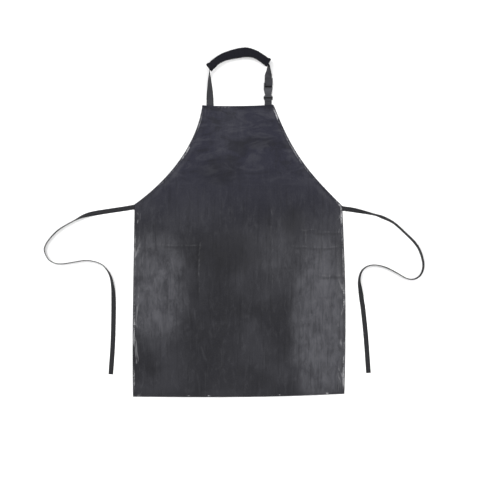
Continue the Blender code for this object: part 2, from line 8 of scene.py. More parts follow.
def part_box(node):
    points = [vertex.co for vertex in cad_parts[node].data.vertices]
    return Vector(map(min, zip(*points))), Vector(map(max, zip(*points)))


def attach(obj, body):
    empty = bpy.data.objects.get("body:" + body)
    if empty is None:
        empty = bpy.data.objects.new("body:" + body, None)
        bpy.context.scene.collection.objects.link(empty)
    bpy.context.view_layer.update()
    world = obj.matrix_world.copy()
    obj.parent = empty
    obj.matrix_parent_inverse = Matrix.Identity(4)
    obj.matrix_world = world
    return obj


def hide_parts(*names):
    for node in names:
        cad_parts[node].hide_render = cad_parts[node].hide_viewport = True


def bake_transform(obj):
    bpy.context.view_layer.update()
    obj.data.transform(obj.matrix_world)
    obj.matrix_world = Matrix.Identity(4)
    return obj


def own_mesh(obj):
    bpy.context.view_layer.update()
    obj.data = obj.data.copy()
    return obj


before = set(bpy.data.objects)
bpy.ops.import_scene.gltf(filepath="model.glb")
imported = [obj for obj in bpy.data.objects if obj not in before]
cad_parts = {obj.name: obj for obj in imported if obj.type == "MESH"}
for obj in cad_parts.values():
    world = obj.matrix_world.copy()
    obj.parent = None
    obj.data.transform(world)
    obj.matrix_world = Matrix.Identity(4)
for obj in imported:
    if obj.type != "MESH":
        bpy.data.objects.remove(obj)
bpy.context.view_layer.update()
print("stage: frame loaded")

sewnLow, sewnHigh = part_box("strap_sewn_end")
bibTop = sewnHigh.y - 0.005          # y of the middle of the bib's top edge
seamZ = (sewnLow.z + sewnHigh.z) / 2   # middle of the layers, where webbing and ties are sewn in
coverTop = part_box("front_cover")[1].z
strapX = (sewnLow.x + sewnHigh.x) / 2
buckleX = (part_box("tab_sewn_end")[0].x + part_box("tab_sewn_end")[1].x) / 2
webWidth = sewnHigh.x - sewnLow.x
webThick = sewnHigh.z - sewnLow.z

# Outline of the body from the middle of the bib's top edge: corners, and the two Bezier
# handles of each edge, clockwise
corners = {
    "bibLeft": (-0.1245, -0.0005), "bibRight": (0.1166, 0.0013),
    "waistRight": (0.3491, -0.3417), "hemRight": (0.3566, -0.9786),
    "hemLeft": (-0.3593, -0.9884), "waistLeft": (-0.3542, -0.3367),
}
edges = {
    "top": ("bibLeft", (-0.085, -0.0056), (0.0532, -0.0045), "bibRight"),
    "rightArmhole": ("bibRight", (0.1814, -0.1699), (0.2405, -0.2343), "waistRight"),
    "rightSide": ("waistRight", (0.3593, -0.5635), (0.3648, -0.6813), "hemRight"),
    "bottom": ("hemRight", (0.1026, -0.9926), (-0.1146, -0.9909), "hemLeft"),
    "leftSide": ("hemLeft", (-0.3639, -0.7743), (-0.3569, -0.5509), "waistLeft"),
    "leftArmhole": ("waistLeft", (-0.2651, -0.2741), (-0.1448, -0.1546), "bibLeft"),
}

# small tools for meshes


def bezierPoints(edge, count):
    start, handleA, handleB, end = edges[edge]
    ends = [np.array(p) for p in (corners[start], handleA, handleB, corners[end])]
    t = np.linspace(0, 1, count)[:, None]
    line = (ends[0] * (1 - t) ** 3 + 3 * ends[1] * t * (1 - t) ** 2
            + 3 * ends[2] * t**2 * (1 - t) + ends[3] * t**3)
    return line + np.array([0, bibTop])


def arcLengths(line):
    steps = np.linalg.norm(np.diff(line, axis=0), axis=1)
    return np.concatenate([[0], np.cumsum(steps)])


def alongLine(line, at):   # points at the arc lengths in at
    runs = arcLengths(line)
    return np.stack([np.interp(at, runs, line[:, k]) for k in range(line.shape[1])], axis=-1)


def smoothLine(route, spacing):   # Catmull-Rom through a route, then even steps
    nodes = np.array(route, float)
    nodes = np.vstack([2 * nodes[0] - nodes[1], nodes, 2 * nodes[-1] - nodes[-2]])
    fine = []
    for a, b, c, d in zip(nodes, nodes[1:], nodes[2:], nodes[3:]):
        for t in np.arange(16) / 16:
            cubic = (3 * b - 3 * c + d - a) * t**3
            fine.append((2 * b + (c - a) * t + (2 * a - 5 * b + 4 * c - d) * t**2 + cubic) / 2)
    fine = np.array(fine + [nodes[-2]])
    runs = arcLengths(fine[:, :3])
    count = max(2, int(round(runs[-1] / spacing)) + 1)
    at = np.linspace(0, runs[-1], count)
    return np.stack([np.interp(at, runs, fine[:, k]) for k in range(fine.shape[1])], axis=-1)


def eased(share):   # clipped to 0 and 1, with soft ends
    share = np.clip(share, 0, 1)
    return share * share * (3 - 2 * share)


def buildMesh(name, points, faces, material, sharp=40, marks=None):
    mesh = bpy.data.meshes.new(name)
    mesh.from_pydata([tuple(float(v) for v in p) for p in points], [], faces)
    mesh.validate()
    mesh.materials.append(material)
    for markName, values in (marks or {}).items():
        flat = np.asarray(values, np.float32)
        kind = "FLOAT_VECTOR" if flat.ndim == 2 else "FLOAT"
        mark = mesh.attributes.new(markName, kind, "POINT")
        mark.data.foreach_set("vector" if flat.ndim == 2 else "value", flat.ravel())
    mesh.shade_smooth()
    mesh.set_sharp_from_angle(angle=math.radians(sharp))
    mesh.update()
    piece = bpy.data.objects.new(name, mesh)
    bpy.context.scene.collection.objects.link(piece)
    return piece


def ringFaces(ringCount, size, closedRun=False, capped=True):
    faces = []
    for i in range(ringCount if closedRun else ringCount - 1):
        j = (i + 1) % ringCount
        for k in range(size):
            m = (k + 1) % size
            faces.append((i * size + k, j * size + k, j * size + m, i * size + m))
    if capped and not closedRun:
        faces.append(tuple(range(size)))
        faces.append(tuple((ringCount - 1) * size + k for k in reversed(range(size))))
    return faces


def framesAlong(line, side=None):   # side and up vectors of a line, level where it can be
    tangents = np.gradient(line, axis=0)
    tangents /= np.linalg.norm(tangents, axis=1)[:, None]
    if side is None:
        sides = np.cross(tangents, [0, 0, 1])
    else:
        sides = np.tile(np.array(side, float), (len(line), 1))
    sides /= np.linalg.norm(sides, axis=1)[:, None]
    return sides, np.cross(sides, tangents)


def sweepPiece(name, line, section, material, rolls, side=None):
    # section(share) gives a closed ring of (across, up) at each point of the line
    xyz = np.array(line)[:, :3]
    sides, ups = framesAlong(xyz, side)
    runs = arcLengths(xyz)
    points, weave = [], []
    for i in range(len(xyz)):
        ring = section(runs[i] / runs[-1])
        across = sides[i] * math.cos(rolls[i]) - ups[i] * math.sin(rolls[i])
        above = ups[i] * math.cos(rolls[i]) + sides[i] * math.sin(rolls[i])
        for a, b in ring:
            points.append(xyz[i] + across * a + above * b)
            weave.append((a, runs[i], b))
    faces = ringFaces(len(xyz), len(ring))
    return buildMesh(name, points, faces, material, marks={"weave": np.array(weave)})


def tapeRing(width, thick):   # flat tape with rounded, slightly thicker selvedges
    w, t = width / 2, thick / 2
    soft, edge = t * 0.9, 0.3
    half = [
        (-w, 0), (-w + soft * edge, t * 0.75), (-w + soft, t), (-w * 0.8, t * 0.93),
        (-w * 0.4, t * 0.9), (0, t * 0.88), (w * 0.4, t * 0.9), (w * 0.8, t * 0.93),
        (w - soft, t), (w - soft * edge, t * 0.75), (w, 0),
    ]
    return half + [(a, -b) for a, b in half[-2:0:-1]]


def joinedMesh(name, parts, material):   # parts are (points, faces)
    points, faces = [], []
    for more, theirs in parts:
        base = len(points)
        points.extend(more)
        faces.extend(tuple(base + k for k in face) for face in theirs)
    return buildMesh(name, points, faces, material)


def settle(piece, slot, body, *nodes):   # its finish (not used), its body and the CAD nodes it stands for
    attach(piece, body)
    if nodes:
        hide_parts(*nodes)
    return piece


# camera, straight down on the whole apron

camera = {"centre": (0.003, -0.0587), "across": 1.627, "height": 5.0, "sensor": 36}
cameraData = bpy.data.cameras.new("camera")
cameraData.sensor_width = camera["sensor"]
cameraData.lens = camera["sensor"] * camera["height"] / camera["across"]
cameraData.clip_end = 20
cameraPiece = bpy.data.objects.new("camera", cameraData)
cameraPiece.location = (*camera["centre"], camera["height"])
bpy.context.scene.collection.objects.link(cameraPiece)
bpy.context.scene.camera = cameraPiece
print("stage: camera")

# shader maths as Python expressions


class Flow:   # one output socket, with operators that add Math nodes
    def __init__(self, shader, socket):
        self.shader = shader
        self.socket = socket

    def math(self, operation, *values):
        return self.shader.node(
            "ShaderNodeMath", {"operation": operation}, dict(enumerate(values)))

    def __add__(self, other):
        return self.math("ADD", self, other)

    def __sub__(self, other):
        return self.math("SUBTRACT", self, other)

    def __rsub__(self, other):
        return self.math("SUBTRACT", other, self)

    def __mul__(self, other):
        return self.math("MULTIPLY", self, other)

    def __truediv__(self, other):
        return self.math("DIVIDE", self, other)

    def __pow__(self, other):
        return self.math("POWER", self, other)

    __radd__ = __add__
    __rmul__ = __mul__

    def abs(self):
        return self.math("ABSOLUTE", self)

    def sin(self):
        return self.math("SINE", self)

    def floor(self):
        return self.math("FLOOR", self)

    def smooth(self, low, high):   # 0 below low, 1 above high
        return self.shader.node(
            "ShaderNodeMapRange", {"interpolation_type": "SMOOTHSTEP", "clamp": True},
            {"Value": self, "From Min": low, "From Max": high})


class Shader:   # a material on its Principled node
    def __init__(self, name, **sockets):
        self.material = bpy.data.materials.new(name)
        self.material.use_nodes = True
        self.tree = self.material.node_tree
        self.principled = self.tree.nodes["Principled BSDF"]
        self.set(**sockets)

    def node(self, kind, settings=None, inputs=None, output=0):
        made = self.tree.nodes.new(kind)
        for key, value in (settings or {}).items():
            setattr(made, key, value)
        for key, value in (inputs or {}).items():
            self.feed(made.inputs[key], value)
        return Flow(self, made.outputs[output])

    def feed(self, socket, value):
        if isinstance(value, Flow):
            self.tree.links.new(value.socket, socket)
        else:
            socket.default_value = value

    def set(self, **sockets):
        for name, value in sockets.items():
            self.feed(self.principled.inputs[name.replace("_", " ")], value)
        return self

    def finish(self, tone, rough, normal, **more):
        return self.set(Base_Color=tone, Roughness=rough, Normal=normal, **more).material

    def place(self):
        return self.node("ShaderNodeTexCoord", output="Object")

    def geometry(self, output):
        return self.node("ShaderNodeNewGeometry", output=output)

    def mark(self, name, output="Vector"):
        return self.node("ShaderNodeAttribute", {"attribute_name": name}, output=output)

    def parts(self, vector):
        split = self.node("ShaderNodeSeparateXYZ", inputs={0: vector}).socket.node
        return [Flow(self, socket) for socket in split.outputs]

    def scaled(self, vector, factors):
        return self.node("ShaderNodeVectorMath", {"operation": "MULTIPLY"}, {0: vector, 1: factors})

    def noise(self, vector, scale, detail=2, roughness=0.5, distortion=0):
        return self.node("ShaderNodeTexNoise", {}, {
            "Vector": vector, "Scale": scale, "Detail": detail,
            "Roughness": roughness, "Distortion": distortion})

    def cells(self, vector, scale, feature="F1"):
        return self.node("ShaderNodeTexVoronoi", {"feature": feature},
                         {"Vector": vector, "Scale": scale})

    def mix(self, factor, first, second):
        return self.node("ShaderNodeMix", {"data_type": "RGBA"},
                         {0: factor, 6: first, 7: second}, output=2)

    def bump(self, height, distance, strength=1, under=None):
        inputs = {"Height": height, "Distance": distance, "Strength": strength}
        if under is not None:
            inputs["Normal"] = under
        return self.node("ShaderNodeBump", {}, inputs)


def grey(value, blue=1):
    return (value, value, value * blue, 1)


def shadeOf(colour, share):
    return tuple(min(1, c * share) for c in colour[:3]) + (1,)


# materials

coated = {
    "tone": grey(0.011, 1.25), "light": grey(0.022, 1.2), "bib": grey(0.0125, 1.8),
    "sheen": grey(0.066, 1.12), "pale": grey(0.38, 1.03), "dark": grey(0.004, 1.3),
    "roughness": 0.42,
    # creases from being packed folded: across or up, place, its two ends, strength
    "creases": [("x", -0.1340, -0.265, -0.060, 1.0), ("x", 0.1057, -0.020, 0.062, 0.9),
                ("x", 0.1159, -0.300, -0.060, 0.45), ("x", 0.2280, -0.100, -0.020, 0.5),
                ("y", -0.0790, -0.260, -0.130, 0.7), ("y", -0.0792, 0.180, 0.340, 0.7),
                ("y", -0.0248, 0.215, 0.345, 0.8), ("y", -0.1760, 0.270, 0.350, 0.9)],
    # patches of painted sheen, where the fabric is also smoother, and darker patches: middle, reach
    # along X and Y, strength
    "patches": [((-0.285, -0.22), (0.085, 0.15), 0.85), ((0.280, -0.36), (0.08, 0.22), 0.90),
                ((0.20, -0.10), (0.12, 0.10), 0.26), ((-0.04, 0.31), (0.05, 0.09), 0.16)],
    "darkPatches": [((-0.041, -0.105), (0.10, 0.06), 0.42), ((0.061, 0.272), (0.06, 0.018), 0.45),
             ((-0.062, 0.176), (0.06, 0.04), 0.40), ((0.184, -0.002), (0.03, 0.05), 0.40)],
}


def patchwork(x, y, patches):   # soft oval areas, 0 outside them
    total = 0
    for (px, py), (reachX, reachY), strength in patches:
        away = ((x - px) / reachX) ** 2 + ((y - py) / reachY) ** 2
        total = (1 - away.smooth(0, 2.6)) * strength + total
    return total


def coatedFabric(name, paintedHighlights=False):
    shader = Shader(name, Specular_IOR_Level=0.16, Coat_Roughness=0.3)
    place = shader.place()
    x, y = shader.parts(place)[:2]
    broad = shader.noise(place, 5, 3, 0.55, 0.3)
    cloudy = shader.noise(place, 19, 4, 0.6, 0.5)
    brushed = shader.noise(shader.scaled(place, (1, 0.3, 1)), 60, 4, 0.7, 0.8)
    fine = shader.noise(place, 260, 4, 0.7)
    tone = shader.mix(broad.smooth(0.35, 0.68), coated["tone"], coated["light"])
    tone = shader.mix(y.smooth(-0.12, 0.26) * 0.9, tone, coated["bib"])
    polishAndSheen, darkPatches = patchwork(x, y, coated["patches"]), patchwork(x, y, coated["darkPatches"])
    uneven = 0.5 * cloudy.smooth(0.3, 0.7) + 0.5 * brushed.smooth(0.3, 0.7)
    # painted sheen in the sheen patches
    tone = shader.mix(polishAndSheen * (0.3 + uneven), tone, coated["sheen"])
    tone = shader.mix(brushed.smooth(0.45, 0.8) * (0.24 - y.smooth(0.0, 0.2) * 0.14), tone,
                      coated["sheen"])
    tone = shader.mix(fine.smooth(0.45, 0.75) * 0.12, tone, coated["sheen"])
    tone = shader.mix(darkPatches * (0.4 + uneven), tone, coated["dark"])
    streaks = shader.noise(shader.scaled(place, (1, 0.07, 1)), 130, 3, 0.6, 0.4)
    tone = shader.mix(streaks.smooth(0.5, 0.72) * (0.34 - y.smooth(0.0, 0.25) * 0.22), tone,
                      coated["dark"])
    # painted highlights and painted shade of soft wrinkles across the bib
    folds = shader.noise(shader.scaled(place, (0.55, 1.5, 1)), 15, 3, 0.6, 1.6)
    onBib = y.smooth(0.06, 0.24)
    tone = shader.mix(folds.smooth(0.50, 0.66) * onBib * 0.20, tone, coated["sheen"])
    tone = shader.mix((1 - folds.smooth(0.36, 0.50)) * onBib * 0.42, tone, coated["dark"])
    lines, shade, wobble = 0, 0, (cloudy - 0.5) * 0.012 + (broad - 0.5) * 0.030
    for axis, at, low, high, strength in coated["creases"]:
        offset, along = (x - at, y) if axis == "x" else (y - at, x)
        inside = along.smooth(low - 0.02, low + 0.02) * (1 - along.smooth(high - 0.02, high + 0.02))
        inside = inside * strength
        lines = (1 - (offset + wobble).abs().smooth(0, 0.0045)) * inside + lines
        shade = (1 - (offset + wobble + 0.007).abs().smooth(0, 0.009)) * inside + shade
    # painted shade beside each crease and a painted highlight along it
    tone = shader.mix(shade * cloudy.smooth(0.3, 0.7) * 0.5, tone, coated["dark"])
    tone = shader.mix(lines * brushed.smooth(0.40, 0.7) * 0.08, tone, coated["pale"])
    # painted highlights along both side edges of the cover, broken into streaks
    highlightBreakup = shader.noise(shader.scaled(place, (1, 0.3, 1)), 46, 3, 0.6, 1.2)
    rim = x.abs().smooth(0.325, 0.352) * (1 - y.smooth(0.03, 0.10))
    tone = shader.mix(rim * highlightBreakup.smooth(0.57, 0.64) * 0.22, tone, coated["pale"])
    if paintedHighlights:   # a painted highlight along the fold of the hem in places
        hemHighlight = shader.mark("hemHighlight", "Fac") * (highlightBreakup + fine).smooth(0.88, 1.12)
        tone = shader.mix(hemHighlight, tone, coated["pale"])
    grain = shader.cells(place, 1150, "SMOOTH_F1")
    pebble = shader.noise(place, 620, 3, 0.6)
    crumple = shader.noise(place, 34, 3, 0.5, 0.8)
    soft = shader.noise(shader.scaled(place, (1, 0.35, 1)), 16, 2, 0.5, 0.6)
    normal = shader.bump(soft, 0.006, 0.5)
    normal = shader.bump(crumple, 0.0022, 0.5, normal)
    normal = shader.bump(lines, 0.0002, 0.3, normal)
    normal = shader.bump(grain * 0.6 + pebble, 0.00012, 0.55, normal)
    rough = coated["roughness"] + (cloudy - 0.5) * 0.18 + (pebble - 0.5) * 0.08 - polishAndSheen * 0.06
    return shader.finish(tone, rough, normal, Coat_Weight=broad * 0.06)


def wovenFabric(name, colour, thread, roughness):   # plain weave, thread in metres
    shader = Shader(name, Specular_IOR_Level=0.25, Sheen_Weight=0.03)
    place = shader.place()
    x, y = shader.parts(place)[:2]
    turn = math.pi / thread
    warp, weft = (x * turn).sin().abs(), (y * turn).sin().abs()
    checks = ((x / thread).floor() + (y / thread).floor()) * math.pi
    over = (checks * 0.5).sin().abs()
    height = over * warp + (1 - over) * weft
    mottle = shader.noise(place, 60, 4, 0.6)
    # painted shade in the hollows between threads
    tone = shader.mix(height * 0.5 + mottle * 0.4, shadeOf(colour, 0.55), colour)
    normal = shader.bump(mottle, 0.0008, 0.3)
    normal = shader.bump(height, thread * 0.25, 0.5, normal)
    return shader.finish(tone, roughness + (mottle - 0.5) * 0.1, normal)


def webbingMaterial(name, width, colour, cord, pick, shadedTo=None):
    # ribbed tape: cords run along, picks across
    shader = Shader(name, Specular_IOR_Level=0.15)
    across, along = shader.parts(shader.mark("weave"))[:2]
    column = (across / cord).floor()
    ribs = (across * (math.pi / cord)).sin().abs()
    picks = ((along / pick + column * 0.5) * math.tau).sin() * 0.5 + 0.5
    height = ribs * (picks * 0.6 + 0.4)
    place = shader.place()
    fuzz = shader.noise(place, 900, 3, 0.7)
    wear = shader.noise(place, 45, 3, 0.6)
    edge = across.abs().smooth(width * 0.36, width * 0.47)
    # painted shade in the hollows between cords and picks
    tone = shader.mix(height * 0.75 + fuzz * 0.25, shadeOf(colour, 0.4), colour)
    tone = shader.mix(wear.smooth(0.5, 0.75) * 0.4 * height, tone, shadeOf(colour, 1.9))
    tone = shader.mix(edge * 0.6, tone, shadeOf(colour, 0.4))
    if shadedTo is not None:   # the turn inside the ladder lock stays in shade
        y = shader.parts(shader.geometry("Position"))[1]
        tone = shader.mix(1 - y.smooth(shadedTo - 0.0006, shadedTo + 0.0006), tone, grey(0.001))
    normal = shader.bump(height, 0.00035, 0.8)
    normal = shader.bump(fuzz, 0.0001, 0.4, normal)
    return shader.finish(tone, 0.62 + (wear - 0.5) * 0.2 - height * 0.08, normal)


def sleeveMaterial(name):   # brushed jersey with fine lengthwise ribs
    shader = Shader(name, Specular_IOR_Level=0.12, Sheen_Weight=0.01)
    place = shader.place()
    along = shader.parts(shader.mark("weave"))[1]
    ribs = ((along * (math.tau / 0.0016)).sin() * 0.5 + 0.5)
    fuzz = shader.noise(place, 700, 4, 0.7)
    folds = shader.noise(place, 90, 3, 0.5, 0.6)
    tone = shader.mix(fuzz.smooth(0.3, 0.8), grey(0.003, 1.6), grey(0.010, 1.6))
    # painted highlight on the crests of the soft folds
    tone = shader.mix(folds.smooth(0.55, 0.8) * 0.3, tone, grey(0.014, 1.4))
    normal = shader.bump(folds, 0.0016, 0.6)
    normal = shader.bump(ribs * 0.5 + fuzz, 0.0003, 0.5, normal)
    return shader.finish(tone, 0.82 + (fuzz - 0.5) * 0.15, normal)


def foamMaterial(name):
    shader = Shader(name)
    place = shader.place()
    pores = shader.cells(place, 1600)
    soft = shader.noise(place, 220, 3, 0.6)
    # painted shade in the pores
    tone = shader.mix(pores.smooth(0.1, 0.5), grey(0.012), grey(0.05))
    normal = shader.bump(pores * 0.6 + soft, 0.0004, 0.7)
    return shader.finish(tone, 0.92 + (soft - 0.5) * 0.1, normal)


def mouldedPlastic(name, colour, roughness, shadedGrooves):
    shader = Shader(name, Specular_IOR_Level=0.25)
    place = shader.place()
    spark = shader.noise(place, 2600, 3, 0.6)
    flow = shader.noise(place, 110, 3, 0.55, 0.4)
    scuff = shader.noise(shader.scaled(place, (1, 0.2, 1)), 900, 4, 0.75).smooth(0.64, 0.78)
    edge = shader.geometry("Pointiness").smooth(0.51, 0.56)
    light = shadeOf(colour, 2.2)
    tone = shader.mix(flow.smooth(0.3, 0.7) * 0.35, colour, shadeOf(colour, 0.7))
    tone = shader.mix(edge * 0.5, tone, light)
    tone = shader.mix(scuff * 0.18, tone, light)
    y, z = shader.parts(shader.geometry("Position"))[1:]
    for low, high, floor in shadedGrooves:   # painted shade deep in the moulded grooves
        inside = y.smooth(low - 0.0001, low + 0.0003)
        inside = inside * (1 - y.smooth(high - 0.0003, high + 0.0001))
        deep = 1 - z.smooth(floor + 0.0002, floor + 0.0016)
        tone = shader.mix(inside * deep, tone, grey(0.001))
    normal = shader.bump(flow, 0.00025, 0.2)
    normal = shader.bump(spark, 0.00005, 0.45, normal)
    return shader.finish(tone, roughness + (spark - 0.5) * 0.15 + scuff * 0.12, normal)


def leadVinyl(name):
    shader = Shader(name)
    place = shader.place()
    specks = shader.noise(place, 1500, 3, 0.7)
    rolled = shader.noise(shader.scaled(place, (1, 0.1, 1)), 90, 3, 0.5)
    tone = shader.mix(specks.smooth(0.4, 0.7), grey(0.05), grey(0.09))
    tone = shader.mix(rolled * 0.4, tone, grey(0.06, 1.05))
    normal = shader.bump(specks, 0.0001, 0.4)
    return shader.finish(tone, 0.6 + (rolled - 0.5) * 0.2, normal)


def threadMaterial(name):
    shader = Shader(name, Specular_IOR_Level=0.3)
    place = shader.place()
    twist = shader.noise(place, 2400, 2, 0.6)
    tone = shader.mix(twist.smooth(0.3, 0.7), grey(0.008), grey(0.035, 1.05))
    return shader.finish(tone, 0.55 + (twist - 0.5) * 0.2, shader.bump(twist, 0.0001, 0.5))


materials = {
    "cover": coatedFabric("coatedFabric"),
    # the hem's fabric carries painted highlights along its fold
    "hem": coatedFabric("coatedHem", paintedHighlights=True),
    "lining": wovenFabric("liningFabric", grey(0.03, 1.05), 0.0009, 0.7),
    "shield": leadVinyl("leadVinyl"),
    "webbing": webbingMaterial("neckWebbing", webWidth, grey(0.038, 1.16), 0.0013, 0.0019),
    "turn": webbingMaterial("ladderTurn", webWidth, grey(0.038, 1.16), 0.0013, 0.0019,
                            bibTop + 0.0632),
    "tape": webbingMaterial("tieTape", 0.016, grey(0.020, 1.14), 0.0010, 0.0015),
    "sleeve": sleeveMaterial("sleeveFabric"),
    "foam": foamMaterial("padFoam"),
    "plastic": mouldedPlastic("bucklePlastic", grey(0.028, 1.14), 0.42, [
        (bibTop + 0.0222, bibTop + 0.0262, 0.0054), (bibTop + 0.0583, bibTop + 0.0606, 0.0044)]),
    "thread": threadMaterial("sewingThread"),
}
print("stage: materials")

# waist ties, the only free cords: flat 16 mm tape

tie = {"width": 0.016, "thick": 0.001, "drop": 0.009, "sewn": 0.02, "fold": 0.005,
       "length": 0.98, "spacing": 0.0025}
tieRoutes = {   # x, y from the bib's top edge and roll in degrees, from the fold outwards
    "left": [
        (-0.35942, -0.34660, 0), (-0.3860, -0.3512, 0), (-0.4400, -0.3593, 0),
        (-0.4939, -0.3680, 8), (-0.5270, -0.3770, 45), (-0.5599, -0.3928, 75),
        (-0.6099, -0.4223, 72), (-0.6418, -0.4543, 72), (-0.6578, -0.4815, 73),
        (-0.6578, -0.4995, 74), (-0.6463, -0.5223, 77), (-0.6238, -0.5362, 79),
        (-0.5963, -0.5383, 82), (-0.5599, -0.5328, 82), (-0.5235, -0.5271, 82),
        (-0.4963, -0.5291, 81), (-0.4688, -0.5383, 79), (-0.4508, -0.5543, 74),
        (-0.4368, -0.5770, 60), (-0.4287, -0.6090, 44), (-0.4256, -0.6498, 18),
        (-0.4256, -0.7181, 0), (-0.4280, -0.8093, 0), (-0.4348, -0.9130, 0),
    ],
    "right": [
        (0.35435, -0.35145, 0), (0.3820, -0.3552, 8), (0.4137, -0.3615, 40),
        (0.4592, -0.3720, 68), (0.4864, -0.3812, 54), (0.5228, -0.3995, 66),
        (0.5592, -0.4315, 68), (0.5956, -0.4679, 66), (0.6139, -0.4995, 68),
        (0.6238, -0.5406, 71), (0.6163, -0.5726, 75), (0.5956, -0.5890, 79),
        (0.5684, -0.5880, 80), (0.5320, -0.5678, 77), (0.4956, -0.5498, 77),
        (0.4592, -0.5420, 82), (0.4317, -0.5480, 80), (0.4137, -0.5658, 74),
        (0.4069, -0.5954, 60), (0.4113, -0.6317, 28), (0.4160, -0.6640, 0),
        (0.4205, -0.6953, 0), (0.4297, -0.7864, 0), (0.4385, -0.9085, 0),
    ],
}


def tieFrame(side):
    corner = np.array(corners["waist" + side.capitalize()]) + [0, bibTop - tie["drop"]]
    away = np.array(tieRoutes[side][0][:2]) + [0, bibTop] - corner
    return corner, away / np.linalg.norm(away)


def makeTie(side):
    corner, away = tieFrame(side)
    sewn = [(*(corner + away * d), seamZ, 0) for d in (-tie["sewn"], -0.010, 0)]
    free = [(x, bibTop + y, seamZ, math.radians(roll)) for x, y, roll in tieRoutes[side]]
    line = smoothLine(sewn + free, tie["spacing"])
    rolls = np.maximum(0, line[:, 3])
    run = arcLengths(line[:, :3])
    resting = (tie["width"] * np.sin(rolls) + tie["thick"] * np.cos(rolls)) / 2
    dropped = seamZ - 0.05 * np.maximum(0, run - tie["sewn"] - tie["fold"])
    line[:, 2] = np.maximum(resting, dropped)
    ring = tapeRing(tie["width"], tie["thick"])

    def section(share):
        end = min(1, (1 - share) * 80 + 0.55)   # the heat-sealed end is thinner
        return [(a, b * end) for a, b in ring]

    piece = sweepPiece(side + "WaistTie", line, section, materials["tape"], rolls)
    reach = Vector((*away, 0))
    side + "_tie"
    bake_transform(piece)
    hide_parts(side + "_waist_tie", side + "_tie_sewn_end")


for side in ("left", "right"):
    makeTie(side)
print("stage: waist ties")

# the body's front cover: one sheet with packing creases, pulls and soft waves

cover = {
    "columns": 200, "rows": (180, 110), "inset": 0.0012, "margin": 0.0045, "ease": 0.022,
    "flat": (0.72, 0.99), "area": 0.602,
    "wave": 0.0016, "waves": [(0.9, 0.6, 7.5, 3.1), (0.6, 1, 17, 8.4), (0.25, 1, 38, 1.7)],
    # over the sewn ends: rise, soft border, and how far in each end's middle and half length lie
    "sewn": {"rise": 0.0005, "soft": 0.006, "webbing": (0.012, 0.0135), "tie": (0.010, 0.0115)},
    # pulls and creases: start, end (from the bib's top edge), width, height
    "folds": [
        ((-0.1340, -0.44), (-0.1350, -0.68), 0.010, 0.0010),
        ((0.1057, -0.33), (0.1060, -0.43), 0.008, 0.0010),
        ((-0.27, -0.4782), (-0.12, -0.4792), 0.010, 0.0009),
        ((0.17, -0.4782), (0.34, -0.4792), 0.010, 0.0009),
        ((0.21, -0.4238), (0.345, -0.4248), 0.010, 0.0010),
        ((0.26, -0.5750), (0.345, -0.5759), 0.010, 0.0010),
        ((-0.072, -0.045), (-0.052, -0.015), 0.006, 0.0010),
        ((-0.060, -0.090), (-0.110, -0.020), 0.014, 0.0014),
        ((0.060, -0.085), (0.100, -0.020), 0.014, 0.0014),
        ((0.30, -0.56), (0.345, -0.60), 0.007, 0.0014),
        ((0.315, -0.62), (0.350, -0.67), 0.007, 0.0014),
        ((0.290, -0.66), (0.340, -0.74), 0.010, 0.0012),
        ((0.250, -0.37), (0.335, -0.355), 0.009, 0.0014),
        ((0.225, -0.42), (0.330, -0.375), 0.012, 0.0014),
        ((-0.255, -0.37), (-0.335, -0.352), 0.009, 0.0014),
        ((-0.215, -0.42), (-0.330, -0.375), 0.012, 0.0014),
        ((-0.330, -0.62), (-0.280, -0.78), 0.016, 0.0014),
        ((-0.345, -0.80), (-0.335, -0.94), 0.008, 0.0014),
        ((0.345, -0.84), (0.335, -0.95), 0.008, 0.0014),
        ((-0.22, -0.90), (-0.16, -0.975), 0.012, 0.0010),
        ((0.02, -0.91), (-0.03, -0.98), 0.012, 0.0010),
        ((0.20, -0.89), (0.26, -0.97), 0.012, 0.0010),
    ],
}


def noiseAt(x, y, scale, seed):
    return noise.noise(Vector((x * scale, y * scale, seed)))


def foldHeight(x, y):   # x and y are arrays; y is in the apron's own frame
    height = np.zeros_like(x)
    for start, end, width, rise in cover["folds"]:
        a = np.array(start) + [0, bibTop]
        b = np.array(end) + [0, bibTop]
        along = b - a
        length = np.linalg.norm(along)
        along = along / length
        s = (x - a[0]) * along[0] + (y - a[1]) * along[1]
        d = (x - a[0]) * -along[1] + (y - a[1]) * along[0]
        d = d + 0.0025 * np.sin(s * 21 + a[0] * 40)
        ends = eased(np.minimum(s, length - s) / (0.22 * length))
        uneven = 0.65 + 0.35 * np.sin(s * 33 + a[0] * 90) * np.sin(s * 12.7 + a[1] * 60)
        height += rise * ends * uneven * np.exp(-np.abs(d / width) ** 1.4)
    return height


def seamRise(x, y):   # the sewn ends of webbing and ties lift the cover over them
    height = np.zeros_like(x)
    sewn = cover["sewn"]
    inwards, halfLength = sewn["webbing"]
    ends = [(np.array([cx, bibTop - inwards]), np.array([0.0, 1.0]), webWidth / 2 + 0.0005,
             halfLength) for cx in (strapX, buckleX)]
    inwards, halfLength = sewn["tie"]
    for side in ("left", "right"):
        corner, away = tieFrame(side)
        ends.append((corner - away * inwards, away, tie["width"] / 2, halfLength))
    for middle, along, halfWidth, halfLength in ends:
        s = np.abs((x - middle[0]) * along[0] + (y - middle[1]) * along[1])
        d = np.abs((x - middle[0]) * -along[1] + (y - middle[1]) * along[0])
        inside = np.clip((halfWidth - d) / sewn["soft"] + 1, 0, 1)
        inside = inside * np.clip((halfLength - s) / sewn["soft"] + 1, 0, 1)
        height += sewn["rise"] * eased(inside)
    return height


def coverHeight(x, y):
    height = foldHeight(x, y)
    waves = np.array([
        sum(size * noiseAt(a, b * squeeze, scale, seed)
            for size, squeeze, scale, seed in cover["waves"])
        for a, b in zip(np.ravel(x), np.ravel(y))
    ]).reshape(np.shape(x))
    return height + cover["wave"] * (1 + waves)


